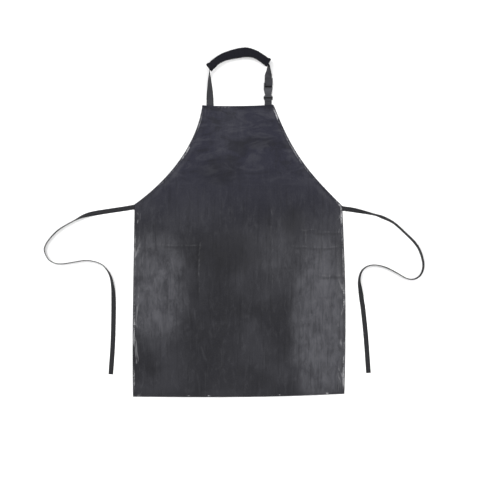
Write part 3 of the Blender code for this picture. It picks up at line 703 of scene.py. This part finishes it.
def bodyPatch(columns, rows):   # a grid inside the outline, blended from its four sides
    lowRows, highRows = rows
    u = np.linspace(0, 1, columns + 1)
    left = np.vstack([bezierPoints("leftSide", lowRows + 1),
                      bezierPoints("leftArmhole", highRows + 1)[1:]])
    right = np.vstack([bezierPoints("rightSide", lowRows + 1)[::-1],
                       bezierPoints("rightArmhole", highRows + 1)[::-1][1:]])
    bottom = bezierPoints("bottom", columns + 1)[::-1]
    top = bezierPoints("top", columns + 1)
    fall = np.linspace(0, 1, len(left))
    lowShare = lowRows / (lowRows + highRows)
    v = np.interp(fall, [0, lowShare, 1], [0, 0.65, 1])[:, None, None]
    u = u[None, :, None]
    grid = (1 - v) * bottom[None] + v * top[None] + (1 - u) * left[:, None] + u * right[:, None]
    grid = grid - ((1 - v) * (1 - u) * bottom[0] + (1 - v) * u * bottom[-1]
                   + v * (1 - u) * top[0] + v * u * top[-1])
    # the outermost points move inwards by the inset
    for cut, inner in ((0, 1), (-1, -2)):
        step = grid[:, inner] - grid[:, cut]
        grid[:, cut] += step / np.linalg.norm(step, axis=1)[:, None] * cover["inset"]
        step = grid[inner] - grid[cut]
        grid[cut] += step / np.linalg.norm(step, axis=1)[:, None] * cover["inset"]
    return grid


def edgeDistance(points):   # distance of each point from the outline
    line = np.vstack([bezierPoints(edge, 60) for edge in edges])
    best = np.full(len(points), 9.0)
    for start in range(0, len(line), 40):
        part = line[start:start + 40]
        gaps = np.linalg.norm(points[:, None] - part[None], axis=2).min(axis=1)
        best = np.minimum(best, gaps)
    return best


def sheetPiece(name, grid, node, material, lift=0):
    flat = grid.reshape(-1, 2)
    count = len(flat)
    low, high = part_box(node)
    lift = np.zeros(count) + lift
    points = np.vstack([np.column_stack([flat, z + lift]) for z in (high.z, low.z)])
    at = np.arange(count).reshape(grid.shape[:2])
    quads = np.stack([at[:-1, :-1], at[:-1, 1:], at[1:, 1:], at[1:, :-1]], axis=-1).reshape(-1, 4)
    faces = quads.tolist() + (count + quads[:, ::-1]).tolist()
    rim = [int(k) for k in (*at[0, :-1], *at[:-1, -1], *at[-1, :0:-1], *at[:0:-1, 0])]
    for a, b in zip(rim, rim[1:] + rim[:1]):
        faces.append((a, count + a, count + b, b))
    return buildMesh(name, points, faces, material, 60)


coverGrid = bodyPatch(cover["columns"], cover["rows"])
spotX, spotY = coverGrid.reshape(-1, 2).T
toEdge = edgeDistance(coverGrid.reshape(-1, 2))
lift = coverHeight(spotX, spotY) * eased((toEdge - cover["margin"]) / cover["ease"])
lift += seamRise(spotX, spotY) * np.clip((toEdge - 0.006) / 0.003, 0, 1)
frontCover = sheetPiece("frontCover", coverGrid, "front_cover", materials["cover"], lift)
settle(frontCover, "coated_fabric", "apron_body", "front_cover")
backLining = sheetPiece("backLining", bodyPatch(60, (60, 36)), "back_lining", materials["lining"])
settle(backLining, "lining_fabric", "apron_body", "back_lining")
print("stage: cover and lining")


def coverZ(x, y):   # height of the finished cover under one point
    point = np.array([[x, y]])
    near = float(eased((edgeDistance(point)[0] - cover["margin"]) / cover["ease"]))
    spot = (np.array([x]), np.array([y]))
    return coverTop + float(coverHeight(*spot)[0]) * near + float(seamRise(*spot)[0])


# hems: each edge is folded round the layers and sewn down

hem = {
    "stitch": 0.0052, "groove": 0.0046, "spacing": 0.003,
    "pucker": 0.00045, "puckers": [(1, 70, 0), (0.6, 170, 5), (0.8, 22, 9)],
    "ends": {   # how each end meets its neighbour: butted behind it, or mitred by a slope
        "top": ((0, 0), (0, 0)),
        "rightArmhole": ((0.0073, 0), (0, 0.42)),
        "rightSide": ((0, 0.42), (0.0073, 0)),
        "bottom": ((0, 0), (0, 0)),
        "leftSide": ((0.0073, 0), (0, 0.53)),
        "leftArmhole": ((0, 0.53), (0.0073, 0)),
    },
    # stretches of each fold with a painted highlight: middle and half length as shares of it,
    # strength
    "paintedHighlights": {
        "top": [(0.3, 0.1, 0.3)],
        "rightArmhole": [(0.09, 0.07, 0.9), (0.45, 0.28, 0.35), (0.97, 0.05, 0.8)],
        "rightSide": [(0.05, 0.06, 0.9), (0.50, 0.07, 0.8), (0.85, 0.13, 0.8), (0.3, 0.2, 0.3)],
        "bottom": [(0.08, 0.008, 0.8), (0.305, 0.006, 0.9), (0.64, 0.006, 0.9),
                   (0.735, 0.008, 0.8)],
        "leftSide": [(0.39, 0.13, 0.8), (0.09, 0.07, 0.6), (0.7, 0.2, 0.3)],
        "leftArmhole": [(0.60, 0.10, 0.9), (0.38, 0.14, 0.4), (0.85, 0.1, 0.3)],
    },
    # section: inward from the fold, height, and how much puckers move it
    "section": [
        (0.0070, 0.0000, 0), (0.0012, 0.0000, 0), (0.0004, 0.0003, 0), (0.0000, 0.0012, 0.1),
        (0.0000, 0.0030, 0.2), (0.0003, 0.0040, 0.4), (0.0010, 0.0047, 0.7), (0.0022, 0.0052, 1),
        (0.0036, 0.0051, 1), (0.0046, 0.0047, 0.5), (0.0052, 0.0045, 0.1), (0.0058, 0.0047, 0.5),
        (0.0065, 0.0050, 1), (0.0070, 0.0048, 1), (0.0071, 0.0044, 0.8), (0.0066, 0.00415, 0.4),
        (0.0052, 0.00408, 0), (0.0014, 0.00408, 0), (0.0008, 0.0034, 0), (0.0006, 0.0022, 0),
        (0.0008, 0.0010, 0), (0.0014, 0.0005, 0), (0.0070, 0.0005, 0),
    ],
}
cadHems = {"top": "top_binding", "rightArmhole": "right_armhole_binding",
           "rightSide": "right_side_binding", "bottom": "bottom_binding",
           "leftSide": "left_side_binding", "leftArmhole": "left_armhole_binding"}


def cutSlot(piece, place, size, turn):   # where webbing or a tie comes out of the fold
    mesh = bpy.data.meshes.new("slot")
    points = [(x * size[0], y * size[1], z * size[2])
              for x in (-0.5, 0.5) for y in (-0.5, 0.5) for z in (-0.5, 0.5)]
    mesh.from_pydata(points, [], [(0, 1, 3, 2), (4, 6, 7, 5), (0, 4, 5, 1), (2, 3, 7, 6),
                                  (0, 2, 6, 4), (1, 5, 7, 3)])
    cutter = bpy.data.objects.new("slot", mesh)
    cutter.matrix_world = Matrix.Translation(place) @ Matrix.Rotation(turn, 4, "Z")
    bpy.context.scene.collection.objects.link(cutter)
    step = piece.modifiers.new("slot", "BOOLEAN")
    step.operation = "DIFFERENCE"
    step.object = cutter
    bpy.context.view_layer.update()
    shape = bpy.data.meshes.new_from_object(
        piece.evaluated_get(bpy.context.evaluated_depsgraph_get()))
    piece.modifiers.clear()
    piece.data = shape
    bpy.data.objects.remove(cutter)


def hemLine(edge):
    line = bezierPoints(edge, 400)
    total = arcLengths(line)[-1]
    return line, total


def hemPoint(line, total, at, inward):   # a point on the hem, inward from its fold
    near = alongLine(line, np.array([max(0, at - 0.0005), min(total, at + 0.0005)]))
    along = near[1] - near[0]
    along = along / np.linalg.norm(along)
    return alongLine(line, np.array([at]))[0] + inward * np.array([along[1], -along[0]])


def puckerAt(edge, at):
    seed = sum(map(ord, edge)) * 0.37
    return sum(size * noise.noise(Vector((at * scale, seed, layer)))
               for size, scale, layer in hem["puckers"])


def makeHem(edge):
    line, total = hemLine(edge)
    (startButt, startSlope), (endButt, endSlope) = hem["ends"][edge]
    count = int(total / hem["spacing"])
    points, hemHighlight = [], []
    for i in range(count + 1):
        base = total * i / count
        swell = puckerAt(edge, base)
        # strength of the painted highlight on the top of the fold here
        highlightStrength = max(strength * max(0, 1 - ((i / count - middle) / reach) ** 2)
                   for middle, reach, strength in hem["paintedHighlights"][edge])
        for inward, height, share in hem["section"]:
            low = startButt + inward * startSlope + (0.0002 if startSlope else 0)
            high = total - endButt - inward * endSlope - (0.0002 if endSlope else 0)
            at = min(max(base, low), high)
            wander = inward + 0.0006 * swell * min(1, share)   # the sewn edge isn't dead straight
            spot = hemPoint(line, total, at, wander if 0.002 < inward else inward)
            points.append((*spot, height + hem["pucker"] * share * (swell + 0.4)))
            hemHighlight.append(highlightStrength if inward > 0.003 and height > 0.0042 else 0)
    size = len(hem["section"])
    rings = np.array(points).reshape(count + 1, size, 3)
    keep = [0]   # rings pressed together at a butted or mitred end are dropped
    for i in range(1, count + 1):
        if np.linalg.norm(rings[i] - rings[keep[-1]], axis=1).max() > 0.0004:
            keep.append(i)
    rings = rings[keep]
    hemHighlight = np.array(hemHighlight).reshape(count + 1, size)[keep]
    piece = buildMesh(edge + "Hem", rings.reshape(-1, 3), ringFaces(len(rings), size),
                      materials["hem"], 50, {"hemHighlight": hemHighlight.ravel()})
    room, deep = 0.0006, 0.008
    if edge == "top":
        for x in (strapX, buckleX):
            cutSlot(piece, (x, bibTop, seamZ), (webWidth + room, deep, webThick + room), 0)
    for side in ("left", "right"):
        if edge == side + "Side":
            corner, away = tieFrame(side)
            cutSlot(piece, (*corner, seamZ), (deep, tie["width"] + room, tie["thick"] + room),
                    math.atan2(away[1], away[0]))
    return settle(piece, "coated_fabric", "apron_body", cadHems[edge])


hemPieces = [makeHem(edge) for edge in edges]
print("stage: hems")

# stitching: separate threads in the hem's groove and the boxed crosses

stitch = {
    "length": 0.0026, "pitch": 0.0034, "radius": 0.00024, "sides": 6,
    # boxed crosses: their middle in from the edge, width, length
    "webbingBox": (0.0165, 0.015, 0.013), "tieBox": (0.0145, 0.009, 0.010),
    # share along it, share of its radius, height: it dips into the fabric at both ends
    "profile": [(0, 0.35, -0.00022), (0.2, 1, 0), (0.5, 1.1, 0.00006), (0.8, 1, 0),
                (1, 0.35, -0.00022)],
}


def stitchParts(start, end):
    start, end = np.array(start), np.array(end)
    along = (end - start) / np.linalg.norm(end - start)
    side = np.cross(along, [0, 0, 1])
    side /= np.linalg.norm(side)
    up = np.cross(side, along)
    points = []
    for share, size, rise in stitch["profile"]:
        middle = start + (end - start) * share + up * rise
        for k in range(stitch["sides"]):
            angle = math.tau * k / stitch["sides"]
            spoke = side * math.cos(angle) + up * math.sin(angle)
            points.append(middle + stitch["radius"] * size * spoke)
    return points, ringFaces(len(stitch["profile"]), stitch["sides"])


def hemStitches(edge):
    line, total = hemLine(edge)
    (startButt, startSlope), (endButt, endSlope) = hem["ends"][edge]
    low = startButt + hem["stitch"] * max(1, startSlope)
    high = total - endButt - hem["stitch"] * max(1, endSlope)
    parts, at = [], low
    while at + stitch["length"] < high:
        z = hem["groove"] + 0.0001 + hem["pucker"] * 0.1 * puckerAt(edge, at)
        parts.append(stitchParts(*[(*hemPoint(line, total, s, hem["stitch"]), z)
                                   for s in (at, at + stitch["length"])]))
        at += stitch["pitch"]
    return parts


allStitches = sum((hemStitches(edge) for edge in edges), [])
settle(joinedMesh("hemStitching", allStitches, materials["thread"]), "thread", "apron_body")


def boxStitch(name, node, edgeMiddle, along, box):
    inwards, width, length = stitch[box]
    middle = edgeMiddle - along * inwards
    across = np.array([along[1], -along[0]])
    w, h = width / 2, length / 2
    square = [(-w, -h), (w, -h), (w, h), (-w, h)]
    runs = list(zip(square, square[1:] + square[:1]))
    runs += [(square[0], square[2]), (square[1], square[3])]
    parts = []
    for a, b in runs:
        a, b = (middle + across * p[0] + along * p[1] for p in (a, b))
        count = max(2, int(np.linalg.norm(b - a) / 0.0029))
        for i in range(count):
            spots = [a + (b - a) * (i + share) / count for share in (0.1, 0.9)]
            parts.append(stitchParts(*[(*p, coverZ(*p) + 0.0003) for p in spots]))
    settle(joinedMesh(name, parts, materials["thread"]), "thread", "apron_body", node)


for name, node, x in (("strapBoxStitch", "strap_box_stitch", strapX),
                      ("tabBoxStitch", "tab_box_stitch", buckleX)):
    boxStitch(name, node, np.array([x, bibTop]), np.array([0.0, 1.0]), "webbingBox")
for side in ("left", "right"):
    corner, away = tieFrame(side)
    boxStitch(side + "TieBoxStitch", side + "_tie_box_stitch", corner, away, "tieBox")
print("stage: stitching")

# neck webbing

padZ = (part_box("neck_pad_cover")[0].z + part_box("neck_pad_cover")[1].z) / 2
routes = {   # x, distance up from the bib, height, roll in degrees
    "left": [
        (strapX, 0.0053, 0.00225, 0), (-0.0987, 0.018, 0.0023, 6),
        (-0.0989, 0.034, 0.0056, 23), (-0.0992, 0.055, 0.0090, 43),
        (-0.0997, 0.077, 0.0112, 60), (-0.1000, 0.095, 0.0129, 74),
        (-0.1001, 0.109, 0.0153, 85), (-0.1001, 0.1190, padZ, 90),
    ],
    "inner": [
        (-0.1000, 0.1203, padZ, 90), (-0.0975, 0.1287, padZ, 90),
        (-0.0890, 0.1357, padZ, 90), (-0.0783, 0.1431, padZ, 90),
        (-0.0546, 0.1576, padZ, 90), (-0.0284, 0.1663, padZ, 90),
        (-0.0016, 0.1721, padZ, 90), (0.0258, 0.1753, padZ, 90),
        (0.0524, 0.1691, padZ, 90), (0.0767, 0.1553, padZ, 90),
        (0.0860, 0.1494, padZ, 90),
    ],
    "right": [
        (0.0867, 0.1489, padZ, 90), (0.0930, 0.1442, padZ, 88),
        (0.0978, 0.1375, 0.0158, 82), (0.1000, 0.1300, 0.0150, 72),
        (0.1002, 0.1210, 0.0128, 60), (0.1001, 0.1120, 0.0106, 46),
        (0.0995, 0.1040, 0.0085, 24), (0.0989, 0.0980, 0.0074, 2),
        (0.0985, 0.0900, 0.0074, 0), (buckleX, 0.0766, 0.0074, 0),
    ],
}


def fromBib(route):
    return [(x, bibTop + up, z, math.radians(roll)) for x, up, z, roll in route]


def webbingPiece(name, route, side=None, spacing=0.0015, material="webbing"):
    line = smoothLine(route, spacing)
    ring = tapeRing(webWidth, webThick)
    return sweepPiece(name, line, lambda share: ring, materials[material], line[:, 3], side)


def foldAtSeam(piece, x, reach, *nodes):   # sewn into the bib; bakes its place into its mesh and hides the CAD nodes it stands for
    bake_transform(piece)
    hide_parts(*nodes)


sewnRun = [(strapX, -0.0245, seamZ, 0), (strapX, -0.014, seamZ, 0), (strapX, -0.004, seamZ, 0)]
leftStrap = webbingPiece("leftNeckStrap", fromBib(sewnRun + routes["left"]))
foldAtSeam(leftStrap, strapX, 0.012, "left_neck_strap", "strap_sewn_end")
innerWebbing = webbingPiece("innerWebbing", fromBib(routes["inner"]))
settle(innerWebbing, "webbing", "neck_loop", "inner_webbing")
rightStrap = webbingPiece("rightNeckStrap", fromBib(routes["right"]))
settle(rightStrap, "webbing", "neck_loop", "right_neck_strap")
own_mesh(rightStrap)

tabPath = [
    (-0.0245, 0.00225), (-0.012, 0.00225), (0.0, 0.00225), (0.0053, 0.00225), (0.0085, 0.0017),
    (0.0120, 0.0015), (0.0192, 0.0015), (0.0212, 0.0020), (0.0221, 0.0033), (0.0221, 0.0047),
    (0.0212, 0.0060), (0.0192, 0.0065), (0.0150, 0.0065), (0.0125, 0.0054), (0.0105, 0.0040),
    (0.0088, 0.0034), (0.0069, 0.0034),
]
adjusterPath = [
    (0.0763, 0.0074), (0.0712, 0.0074), (0.0696, 0.0069), (0.0684, 0.0056), (0.0672, 0.0032),
    (0.0662, 0.0020), (0.0648, 0.0015), (0.0630, 0.0015), (0.0617, 0.0020), (0.0611, 0.0034),
    (0.0612, 0.0050), (0.0619, 0.0063), (0.0632, 0.0070), (0.0648, 0.0081), (0.0666, 0.0089),
]


def sideRoute(path):
    return [(buckleX, bibTop + up, z, 0) for up, z in path]


buckleTab = webbingPiece("buckleTab", sideRoute(tabPath), (1, 0, 0), 0.0007)
foldAtSeam(buckleTab, buckleX, 0.009, "buckle_tab", "tab_sewn_end")
adjuster = webbingPiece("adjusterWebbing", sideRoute(adjusterPath), (1, 0, 0), 0.0007, "turn")
settle(adjuster, "webbing", "buckle_plug", "adjuster_webbing")

tailLow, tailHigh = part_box("strap_tail")
tailX, tailZ = (tailLow.x + tailHigh.x) / 2, (tailLow.z + tailHigh.z) / 2
tailRoute = [(tailX, tailLow.y, tailZ, 0), (tailX, tailLow.y + 0.010, tailZ, 0),
             (tailX, tailLow.y + 0.020, tailZ + 0.0002, 0), (tailX, tailHigh.y, tailZ + 0.0011, 0)]
settle(webbingPiece("strapTail", tailRoute), "webbing", "strap_tail", "strap_tail")
print("stage: neck webbing")

# neck pad: a gathered sleeve round a foam liner, cuffed at both ends

pad = {
    "halfHeight": 0.0150, "corner": 0.0075, "cuff": 0.009, "rings": 110, "sides": 44,
    "line": [   # x, distance up from the bib
        (-0.1028, 0.1241), (-0.0788, 0.1428), (-0.0546, 0.1576), (-0.0284, 0.1663),
        (-0.0016, 0.1721), (0.0258, 0.1753), (0.0524, 0.1691), (0.0767, 0.1553), (0.1003, 0.1407),
    ],
    # half of its width at even steps along it
    "halfWidths": (0.0136, 0.0118, 0.0126, 0.0140, 0.0158, 0.0154, 0.0128, 0.0122, 0.0136),
    "cap": 0.0022, "frames": 20, "gather": 0.0005, "wall": 0.0006,
    "cloth": {
        "quality": 6, "mass": 0.15, "tension_stiffness": 30, "compression_stiffness": 30,
        "shear_stiffness": 12, "bending_stiffness": 0.03, "use_pressure": True,
        "uniform_pressure_force": 1.5, "shrink_min": -0.07, "vertex_group_mass": "pinned",
    },
}
padCentre = smoothLine([(x, bibTop + up, padZ, 0) for x, up in pad["line"]], 0.002)[:, :3]
padLength = arcLengths(padCentre)[-1]


def roundedRing(halfWidth, halfHeight, corner, count):   # even steps round a rounded rectangle
    dense = []
    for i, (sx, sy) in enumerate(((1, 1), (-1, 1), (-1, -1), (1, -1))):
        for k in range(13):
            angle = math.radians(90 * i + 7.5 * k)
            dense.append((sx * (halfWidth - corner) + corner * math.cos(angle),
                          sy * (halfHeight - corner) + corner * math.sin(angle)))
    dense = np.array(dense + dense[:1])
    return alongLine(dense, np.linspace(0, arcLengths(dense)[-1], count + 1)[:-1])


def padRing(at, grow, count):
    widths = pad["halfWidths"]
    width = np.interp(at / padLength * (len(widths) - 1), range(len(widths)), widths)
    return roundedRing(width + grow, pad["halfHeight"] + grow, pad["corner"] + grow, count)


def padShell(name, start, end, outer, inner, material, step=0.002):
    # outer(share) and inner(share) give how far each wall stands off the pad's own surface
    count = pad["sides"]
    at = np.linspace(start, end, max(4, int((end - start) / step)))
    line = alongLine(padCentre, at)
    sides, ups = framesAlong(line)
    points, weave = [], []
    for wall, order in ((outer, range(len(line))), (inner, reversed(range(len(line))))):
        for i in order:
            share = i / (len(line) - 1)
            for k, (a, b) in enumerate(padRing(at[i], wall(share), count)):
                points.append(line[i] + sides[i] * a + ups[i] * b)
                weave.append((k / count * 0.09, at[i], 0))
    faces = ringFaces(2 * len(line), count, closedRun=True)
    return buildMesh(name, points, faces, material, 50, {"weave": np.array(weave)})


def gatherSleeve():   # cloth that is longer than the pad, held at both cuffs, buckles into gathers
    at = np.linspace(0, padLength, pad["rings"])
    line = alongLine(padCentre, at)
    sides, ups = framesAlong(line)
    points = [line[i] + sides[i] * a + ups[i] * b for i in range(len(line))
              for a, b in padRing(at[i], -0.0004, pad["sides"])]
    rest = np.array(points)
    piece = buildMesh("neckPadSleeve", rest, ringFaces(len(line), pad["sides"], capped=False),
                      materials["sleeve"], 70)
    runs, order = np.repeat(at, pad["sides"]), np.arange(len(rest))
    held = order[np.minimum(runs, padLength - runs) < pad["cuff"]]
    piece.vertex_groups.new(name="pinned").add(held.tolist(), 1, "REPLACE")
    outward = rest - np.repeat(line, pad["sides"], axis=0)
    outward /= np.linalg.norm(outward, axis=1)[:, None]
    rng = np.random.default_rng(7)
    start = rest + outward * rng.uniform(-0.00025, 0.00025, (len(rest), 1))
    shape = rest
    piece.data.vertices.foreach_set("co", start.ravel().astype(np.float32))
    cloth = piece.modifiers.new("gathers", "CLOTH")
    for key, value in pad["cloth"].items():
        setattr(cloth.settings, key, value)
    cloth.settings.effector_weights.gravity = 0
    cloth.collision_settings.use_collision = False
    scene = bpy.context.scene
    for step in range(1, pad["frames"] + 1):
        scene.frame_set(step)
    result = piece.evaluated_get(bpy.context.evaluated_depsgraph_get())
    moved = np.empty(len(rest) * 3, np.float32)
    result.data.vertices.foreach_get("co", moved)
    scene.frame_set(1)
    moved = moved.reshape(-1, 3) - rest
    size = np.linalg.norm(moved, axis=1)[:, None]
    shape = rest + moved * np.minimum(1, pad["cap"] / np.maximum(size, 1e-9))
    inward = np.einsum("ij,ij->i", shape - rest, outward)
    shape = shape + outward * np.maximum(0, -0.0004 - inward)[:, None]   # foam backs it
    piece.modifiers.remove(cloth)
    bpy.data.objects.remove(piece)
    gather = pad["gather"] * np.sin(runs * 620 + 2.2 * np.sin(runs * 90))
    gather *= np.clip(runs / 0.02, 0, 1) * np.clip((padLength - runs) / 0.02, 0, 1)
    shape = shape + outward * (gather * (0.5 + 0.5 * np.sin(order * 0.7)))[:, None]
    # it lies on the floor in small folds
    shape[:, 2] = np.maximum(shape[:, 2], 0.0008 + 0.0004 * np.sin(order * 1.3))

    def backwards(values):   # the rings in reverse, for the wall inside
        return values.reshape(pad["rings"], pad["sides"], 3)[::-1].reshape(-1, 3)

    weave = np.column_stack([order % pad["sides"] * 0.002, runs, runs * 0])
    points = np.vstack([shape, backwards(shape - outward * pad["wall"])])
    faces = ringFaces(2 * pad["rings"], pad["sides"], closedRun=True)
    made = buildMesh("neckPadSleeve", points, faces, materials["sleeve"], 70,
                     {"weave": np.vstack([weave, backwards(weave)])})
    detail = made.modifiers.new("smooth", "SUBSURF")
    detail.levels = 1
    detail.render_levels = 1
    return made


padSleeve = settle(gatherSleeve(), "sleeve_fabric", "neck_loop", "neck_pad_cover")
padFoam = padShell("padFoam", 0.003, padLength - 0.003, lambda s: -0.0017,
                   lambda s: -0.0031 + 0.0006 * (2 * s - 1) ** 8, materials["foam"])
settle(padFoam, "foam", "neck_loop", "neck_pad_foam")

for side, start in (("left", 0), ("right", padLength - pad["cuff"])):
    cuff = padShell(side + "PadCuff", start, start + pad["cuff"],
                    lambda s: 0.0006 + 0.0005 * math.sin(math.pi * s) ** 0.5,
                    lambda s: 0.0003, materials["sleeve"], step=0.0008)
    settle(cuff, "sleeve_fabric", "neck_loop", side + "_pad_cuff")
print("stage: neck pad")

# buckle and shielding keep their shape; the buckle's two halves get grip ribs

finishes = {"buckle_socket": "plastic", "buckle_plug": "plastic", "left_latch_arm": "plastic",
            "right_latch_arm": "plastic", "shield_ply_front": "shield", "shield_ply_back": "shield"}
for node, finish in finishes.items():
    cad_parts[node].data.materials.clear()
    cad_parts[node].data.materials.append(materials[finish])


ribs = {   # body, places up from the bib, height of their foot, half length, half width, rise
    "socketRibs": ("neck_loop", (0.0275, 0.0288, 0.0301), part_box("buckle_socket")[1].z,
                   0.0085, 0.0005, 0.00045),
    "plugRibs": ("buckle_plug", (0.0733, 0.0743), 0.0065, 0.0088, 0.0004, 0.00035),
}
for name, (body, places, foot, halfLength, halfWidth, rise) in ribs.items():
    parts = []
    for up in places:
        points = []
        for share, size in ((-1, 0.3), (-0.94, 0.8), (-0.8, 1), (0.8, 1), (0.94, 0.8), (1, 0.3)):
            x, y = buckleX + share * halfLength, bibTop + up
            for angle in np.linspace(0, math.pi, 9):
                points.append(np.array([x, y - math.cos(angle) * halfWidth * size,
                                        foot + math.sin(angle) * rise * size]))
            points.append(np.array([x, y, foot - 0.0002]))
        parts.append((points, ringFaces(6, 10)))
    settle(joinedMesh(name, parts, materials["plastic"]), "buckle_plastic", body)
print("stage: buckle")

# floor and light

studio = {
    "floorHalf": 12, "floorHeight": -0.0003, "surround": 0.42,
    "softboxes": [   # place, target, size, watts
        ((-2.3, 1.6, 3.0), (0, 0, 0), (2.8, 2.8), 150),
        ((2.5, 0.5, 2.8), (0, -0.1, 0), (2.6, 3.2), 108),
        ((0.0, -3.0, 2.6), (0, -0.3, 0), (3.5, 1.8), 60),
    ],
}
floorShader = Shader("paleFloor", Roughness=0.9)
floorTone = floorShader.noise(floorShader.place(), 3, 2)
floorShader.set(Base_Color=floorShader.mix(floorTone * 0.3, grey(0.93), grey(0.90)))
floorCorners = [(x * studio["floorHalf"], y * studio["floorHalf"], studio["floorHeight"])
                for x, y in ((-1, -1), (1, -1), (1, 1), (-1, 1))]
buildMesh("floor", floorCorners, [(0, 1, 2, 3)], floorShader.material)

for number, (place, target, size, watts) in enumerate(studio["softboxes"]):
    data = bpy.data.lights.new(f"softbox{number}", "AREA")
    data.shape = "RECTANGLE"
    data.size, data.size_y = size
    data.energy = watts
    lamp = bpy.data.objects.new(data.name, data)
    lamp.location = place
    lamp.rotation_euler = (Vector(target) - Vector(place)).to_track_quat("-Z", "Y").to_euler()
    bpy.context.scene.collection.objects.link(lamp)

world = bpy.data.worlds.new("studio")
world.use_nodes = True
background = world.node_tree.nodes["Background"]
background.inputs["Color"].default_value = (1, 1, 1, 1)
background.inputs["Strength"].default_value = studio["surround"]
bpy.context.scene.world = world
bpy.context.scene.view_settings.view_transform = "Standard"
print("stage: floor and light")
